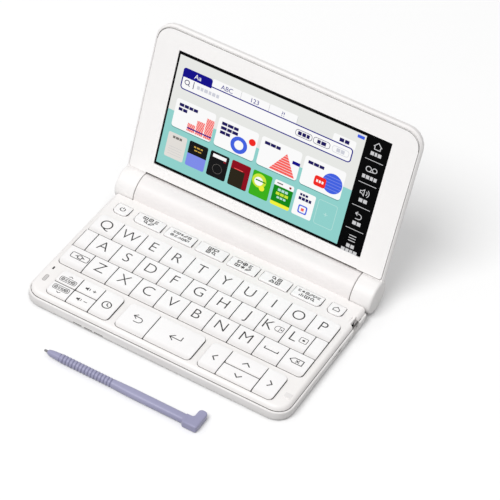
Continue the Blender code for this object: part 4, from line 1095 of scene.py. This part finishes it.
def screenTiles():
    # Seven covers, and an empty place with a plus sign
    marks = []
    low, high, width = screen["tileLow"], screen["tileHigh"], screen["tileWidth"]
    lefts = [screen["tileLeft"] + number * screen["tilePitch"] for number in range(8)]
    for number, ground in enumerate(("paper", "sky", "soot", "umber", "leaf", "forest", "white")):
        left, right = lefts[number], lefts[number] + width
        marks += [panel(left, right, low, high, ground, 3, 0.9), *covers(left, right, low, high)[number]]
    x, y = lefts[-1] + width / 2, (low + high) / 2
    outline = cornerOutline((lefts[-1], lefts[-1] + width, low, high), [1.2] * 4, inset=0.2, steps=4)
    return marks + [stroke(outline, 0.28, "paleTeal", closed=True, layer=3),
                    stroke([(x - 1.1, y), (x + 1.1, y)], 0.4, "paleTeal", layer=3),
                    stroke([(x, y - 1.1), (x, y + 1.1)], 0.4, "paleTeal", layer=3)]


def covers(left, right, low, high):
    # A plain geometric cover for each of the seven tiles
    x, middle = (left + right) / 2, (low + high) / 2
    lines = [stroke([(left + 1.6, low + rise), (right - 1.6, low + rise)], 0.16, "lineGrey", layer=4)
             for rise in (2.2, 3.6, 5.0, 6.4)]
    rows = []
    for drop, width, height, ink in (
            (5.0, 1.6, 1.4, "paleTeal"), (7.2, 2.0, 1.5, "lime"), (9.3, 1.4, 1.1, "paleTeal")):
        rows += rowOfBars(x, high - drop, [width] * 3, height, ink, 0.4, 5)
    return (
        [*rowOfBars(x, high - 2.2, (1.4, 1.8, 1.4), 1.4, "stone", 0.3, 4), *lines],
        [panel(left, right, middle, high, "soot", 4),
         *rowOfBars(x, high - 2.6, (1.2, 1.6, 1.2), 0.8, "gold", 0.5, 5),
         *rowOfBars(x, high - 4.4, (1.8, 1.8), 0.6, "gold", 0.4, 5)],
        [bar(x, high - 2.2, 7.6, 1.9, "white", 4), bar(x + 3.2, high - 3.8, 1.4, 0.8, "maroon", 4),
         stroke(circleOutline(x, low + 5.2, 2.6, 24), 0.14, "stone", closed=True, layer=4)],
        [panel(left, right, high - 4.6, high, "maroon", 4),
         bar(right - 1.3, middle, 2.6, high - low - 1.0, "maroon", 4),
         bar(x - 0.9, high - 4.2, 5.0, 0.4, "coral", 5)],
        [fill(circleOutline(x - 1.2, high - 5.0, 3.9, 24), "lime", 4),
         fill(circleOutline(x - 1.4, high - 5.4, 2.4, 20), "white", 5),
         fill(circleOutline(x + 1.0, low + 5.6, 1.5, 16), "lemon", 5),
         bar(x - 0.4, high - 4.9, 5.6, 0.7, "forest", 6)],
        [panel(left, right, high - 3.0, high, "white", 4),
         panel(left, right, low, low + 2.0, "lemon", 4, 0.9, screen["sharp"]),
         bar(x - 2.4, high - 1.5, 3.2, 0.7, "stone", 5), bar(x + 3.4, high - 1.6, 1.2, 1.2, "maroon", 5, 0.4), *rows],
        [*rowOfBars(x - 1.0, high - 2.0, (1.2, 1.2, 1.4), 1.3, "ink", 0.3, 4),
         *rowOfBars(x, high - 4.2, (1.5, 1.7, 1.5, 1.4), 1.7, "ink", 0.3, 4),
         panel(x - 2.5, x + 2.5, low + 1.9, low + 6.6, "blue", 4, 0.9),
         panel(x - 1.8, x + 1.8, low + 2.6, low + 5.9, "white", 5, 0.6, 0.6),
         bar(x, low + 4.2, 1.6, 1.6, "coral", 6)],
    )


def paletteSigns():
    # A house, two reels, a loudspeaker, a bent arrow and a list: each line with its width, closed (True) or open
    house = [(-2.0, -0.2), (0.0, 1.9), (2.0, -0.2), (1.5, -0.4), (1.5, -1.9), (-1.5, -1.9), (-1.5, -0.4)]
    horn = [(-2.6, -0.6), (-1.7, -0.6), (-0.5, -1.7), (-0.5, 1.7), (-1.7, 0.6), (-2.6, 0.6)]
    bend = np.concatenate(([(-1.7, 0.95)], circleOutline(0.2, -0.5, 1.45, 12, 90, -180), [(-1.4, -1.95)]))
    return (
        [(house, 0.42, True)],
        [(circleOutline(-1.5, 0, 1.4, 18), 0.4, True), (circleOutline(1.7, 0.2, 1.2, 18), 0.4, True),
         ([(-1.5, -1.4), (1.7, -1.0)], 0.4, False)],
        [(horn, 0.38, True), (circleOutline(-0.3, 0, 1.4, 8, -50, 100), 0.38, False),
         (circleOutline(-0.3, 0, 2.5, 10, -50, 100), 0.38, False)],
        [(bend, 0.4, False), ([(-0.7, 2.0), (-1.8, 0.95), (-0.7, -0.1)], 0.4, False)],
        [([(-1.9, rise), (1.9, rise)], 0.42, False) for rise in (-1.5, 0.0, 1.5)],
    )


def paletteMarks():
    # Five plain signs down the black strip, with a word bar under each and a line between them
    x, ink, marks = screen["paletteMiddle"], "printGrey", []
    places = [screen["paletteTop"] - number * screen["palettePitch"] for number in range(5)]
    words = ((1.8, 1.2, 1.8), (1.6, 1.8, 1.5, 1.6), (2.0, 2.0), (2.0, 2.0), (1.9, 1.9))
    for number, (y, bars) in enumerate(zip(places, words)):
        if number < 4:
            marks.append(stroke([(x - 4.9, y - 8.25), (x + 4.9, y - 8.25)], 0.3, ink))
        marks += rowOfBars(x, y - 4.5, bars, 2.0, ink, 0.45)
    for y, lines in zip(places, paletteSigns()):
        marks += drawn(lines, x, y, ink)
    return marks + rowOfBars(x, places[-1] - 7.3, (2.0, 1.8, 1.6, 2.0), 1.8, ink, 0.4)


for name, marks in (("screen_base", screenBase()), ("screen_words", screenWords()),
                    ("screen_cards", screenCards()), ("screen_tiles", screenTiles()),
                    ("screen_palette", paletteMarks())):
    printMarks(name, marks, lambda x, up, height: onLid(x, up, height, lid["glassBack"]),
               screenInks, "lid", lift=0.01)
print("display done")


# Lines of shadow in the joints of the lid: over the top of the front panel and along the lid's foot
lidSeam = {
    "panelSide": 72.5, "panelTop": 92.625, "foot": 9.9, "corner": 8.6,
    "panelSet": 0.36,  # the panel lies this far behind the rim
    "width": 0.22,
    "footHalf": 62.4, "footRight": 59.0, "footWidth": 0.56,
}


def makeLidSeams():
    side, up, width, corner = (lidSeam[part] for part in ("panelSide", "foot", "width", "corner"))
    outline = cornerOutline((-side, side, up, lidSeam["panelTop"]), (0.1, 0.1, corner, corner), 0.06)
    over = stroke(outline[outline[:, 1] > up + 0.4], width, "seam")
    left, right = -lidSeam["footHalf"], lidSeam["footRight"]
    thick = stroke([(left, up), (right, up)], lidSeam["footWidth"], "seam")
    thin = stroke([(right, up - 0.1), (side - 0.4, up - 0.1)], width, "joint")
    for name, marks in (("panel_joint", [over]), ("foot_joint", [thick, thin])):
        printMarks(name, marks, lambda x, up, height: onLid(x, up, height, lidSeam["panelSet"]),
                   plastic, "lid")


makeLidSeams()
print("lid joints done")


# The pen: a turned, slightly square body with a ribbed grip, and a hooked head
pen = {
    "place": (-44.7, -76.562, 1.55),  # mm, its axis; the tip is at the left
    "length": 86.0, "width": 4.9, "height": 4.1, "grip": 4.1,
    "tipEnd": 2.1, "coneEnd": 9.7, "gripStart": 11.2, "taperEnd": 47.7,
    "ribs": 16, "pitch": 1.77, "ribDepth": 0.19, "grooveShare": 0.17,
    "square": 0.74,  # 1 is round, less is squarer
    "sides": 40,
    "headStart": 77.4, "armStart": 81.3, "reach": 8.6, "step": 1.2, "endRound": 2.1, "innerRound": 1.2,
    "headEdge": 0.75, "headTurn": 50.0,  # mm and degrees: edges that turn more are rounded
}


def inGrip(place):
    # Whether a place, counted in ribs from the first groove, lies in the ribbed grip
    return (place > -0.5) & (place < pen["ribs"] - 0.5)


def penSection(x):
    # Width and height along the pen, less a row of grooves: d (1/2 + 1/2 cos(2 pi x / p))^2 deep
    cone, grip = pen["coneEnd"], pen["grip"]
    stops = (0.0, 0.2, 0.5, pen["tipEnd"], pen["tipEnd"] + 0.02, 3.0, 5.0, cone - 0.7, cone - 0.6,
             cone - 0.2, cone - 0.1, cone + 0.3, pen["taperEnd"] - 8, pen["taperEnd"], pen["length"])
    sizes = (0.5, 0.9, 1.08, 1.15, 1.9, 2.6, 3.2, 3.75, 3.2, 3.2, 3.8, grip, grip, pen["width"], pen["width"])
    tall = sizes[:-2] + (pen["height"], pen["height"])
    place = (x - pen["gripStart"]) / pen["pitch"]
    groove = np.where(inGrip(place), 2 * pen["ribDepth"] * (0.5 + 0.5 * np.cos(2 * np.pi * place)) ** 2, 0.0)
    return np.interp(x, stops, sizes) - groove, np.interp(x, stops, tall) - groove


def makePen():
    # Superellipse rings: w/2 sign(cos t)|cos t|^s across, h/2 sign(sin t)|sin t|^s up
    cone, ribsFrom = pen["coneEnd"], pen["gripStart"] - pen["pitch"] / 2
    grip = ribsFrom + pen["pitch"] / 10 * np.arange(10 * pen["ribs"] + 1)
    start = (0.0, 0.08, 0.2, 0.5, pen["tipEnd"], pen["tipEnd"] + 0.02, 2.4, 3.0, 4.0, 5.0, 7.0,
             cone - 0.7, cone - 0.6, cone - 0.2, cone - 0.1, cone + 0.1, cone + 0.3)
    x = np.concatenate((start, grip, np.linspace(grip[-1] + 1.0, pen["headStart"] + 2.0, 14)))
    wide, tall = penSection(x)
    angle = np.linspace(0, 2 * np.pi, pen["sides"], endpoint=False)
    power = pen["square"]
    across, up = (np.sign(part) * np.abs(part) ** power for part in (np.cos(angle), np.sin(angle)))
    points = np.stack((np.broadcast_to(x[:, None], (len(x), len(angle))), wide[:, None] / 2 * across,
                       tall[:, None] / 2 * up), axis=-1).reshape(-1, 3)
    faces = ringFaces(len(x), len(angle))
    middles = np.append(np.repeat((x[:-1] + x[1:]) / 2, len(angle)), (0.0, pen["length"]))
    place = (middles - pen["gripStart"]) / pen["pitch"]
    # Painted shade: faces in the grip's grooves take a darker copy of the pen's plastic
    grooved = inGrip(place) & (np.abs(place - np.round(place)) < pen["grooveShare"])
    indices = (middles > pen["tipEnd"]).astype(int) + grooved
    makePiece("pen_body", (points + pen["place"]) * mm, faces,
              [plastic["penTip"], plastic["pen"], plastic["penGrooveShade"]], "stylus",
              ("stylus",), sharp=42.0, indices=indices)

    half, end, arm = pen["width"] / 2, pen["length"], pen["armStart"]
    front, reach, big, small = -half - pen["step"], pen["reach"], pen["endRound"], pen["innerRound"]
    outline = np.concatenate((
        [(pen["headStart"], half), (pen["headStart"], -half), (pen["headStart"] + pen["step"], front)],
        circleOutline(end - small, front + small, small, 7, -90, 90),
        circleOutline(end - big, reach - big, big, 9, 0, 90),
        circleOutline(arm + big, reach - big, big, 9, 90, 90),
        circleOutline(arm - small, half + small, small, 6, 0, -90)))
    flat = pen["height"] / 2
    levels = np.concatenate([np.column_stack((outline, np.full(len(outline), z))) for z in (-flat, flat)])
    head = makePiece("pen_head", (levels + pen["place"]) * mm, ringFaces(2, len(outline)), [plastic["pen"]],
                     "stylus")
    roundEdges(head, pen["headEdge"], pen["headTurn"])


makePen()
print("pen done")


# Light, floor and backdrop
studio = {
    "sky": 0.60,
    "power": 58.0, "place": (-0.45, -1.78, 2.62), "size": 1.7,  # the lamp, in watts and metres
    "aim": (0.0, 0.0, 0.03),
    "floorHalf": 3.0,
    "floorTone": tone(165, 165, 165),
    "seenTone": 1.0,  # the floor as the camera sees it
}


def makeStudio(look):
    world = bpy.data.worlds.new("studio")
    world.use_nodes = True
    bpy.context.scene.world = world
    tree = world.node_tree
    rays = newNode(tree, "LightPath")
    seen = newNode(tree, "MapRange", {"Value": rays.outputs["Is Camera Ray"],
                                      "To Min": look["sky"], "To Max": 1.0})
    feed(tree, tree.nodes["Background"], {"Strength": seen.outputs["Result"], "Color": (1.0, 1.0, 1.0, 1.0)})
    data = bpy.data.lights.new("softBox", "AREA")
    data.shape, data.size, data.energy = "DISK", look["size"], look["power"]
    lamp = addObject("softBox", data)
    lamp.location = look["place"]
    lamp.rotation_mode = "QUATERNION"
    lamp.rotation_quaternion = (Vector(look["aim"]) - Vector(look["place"])).to_track_quat("-Z", "Y")


def makeFloor(look):
    # A wide sheet just under the feet: the camera and mirrored rays see it white, other light sees its pale grey
    low, half = cadBox[0].z, look["floorHalf"]
    corners = [(-half, -half, low), (half, -half, low), (half, half, low), (-half, half, low)]
    mesh = bpy.data.meshes.new("floor")
    mesh.from_pydata(corners, [], [(0, 1, 2, 3)])
    floor = addObject("floor", mesh)
    material, tree, shader, _ = startMaterial("paleFloor")
    tree.nodes.remove(shader)
    rays = newNode(tree, "LightPath")
    seen = newNode(tree, "Math")
    seen.operation = "MAXIMUM"
    feed(tree, seen, {0: rays.outputs["Is Camera Ray"], 1: rays.outputs["Is Glossy Ray"]})
    white = (look["seenTone"],) * 3 + (1.0,)
    colour = mixTones(tree, seen.outputs["Value"], look["floorTone"], white)
    paper = newNode(tree, "BsdfDiffuse", {"Color": colour})
    feed(tree, tree.nodes["Material Output"], {"Surface": paper.outputs["BSDF"]})
    mesh.materials.append(material)


makeStudio(studio)
makeFloor(studio)
bpy.context.scene.view_settings.view_transform = "Standard"
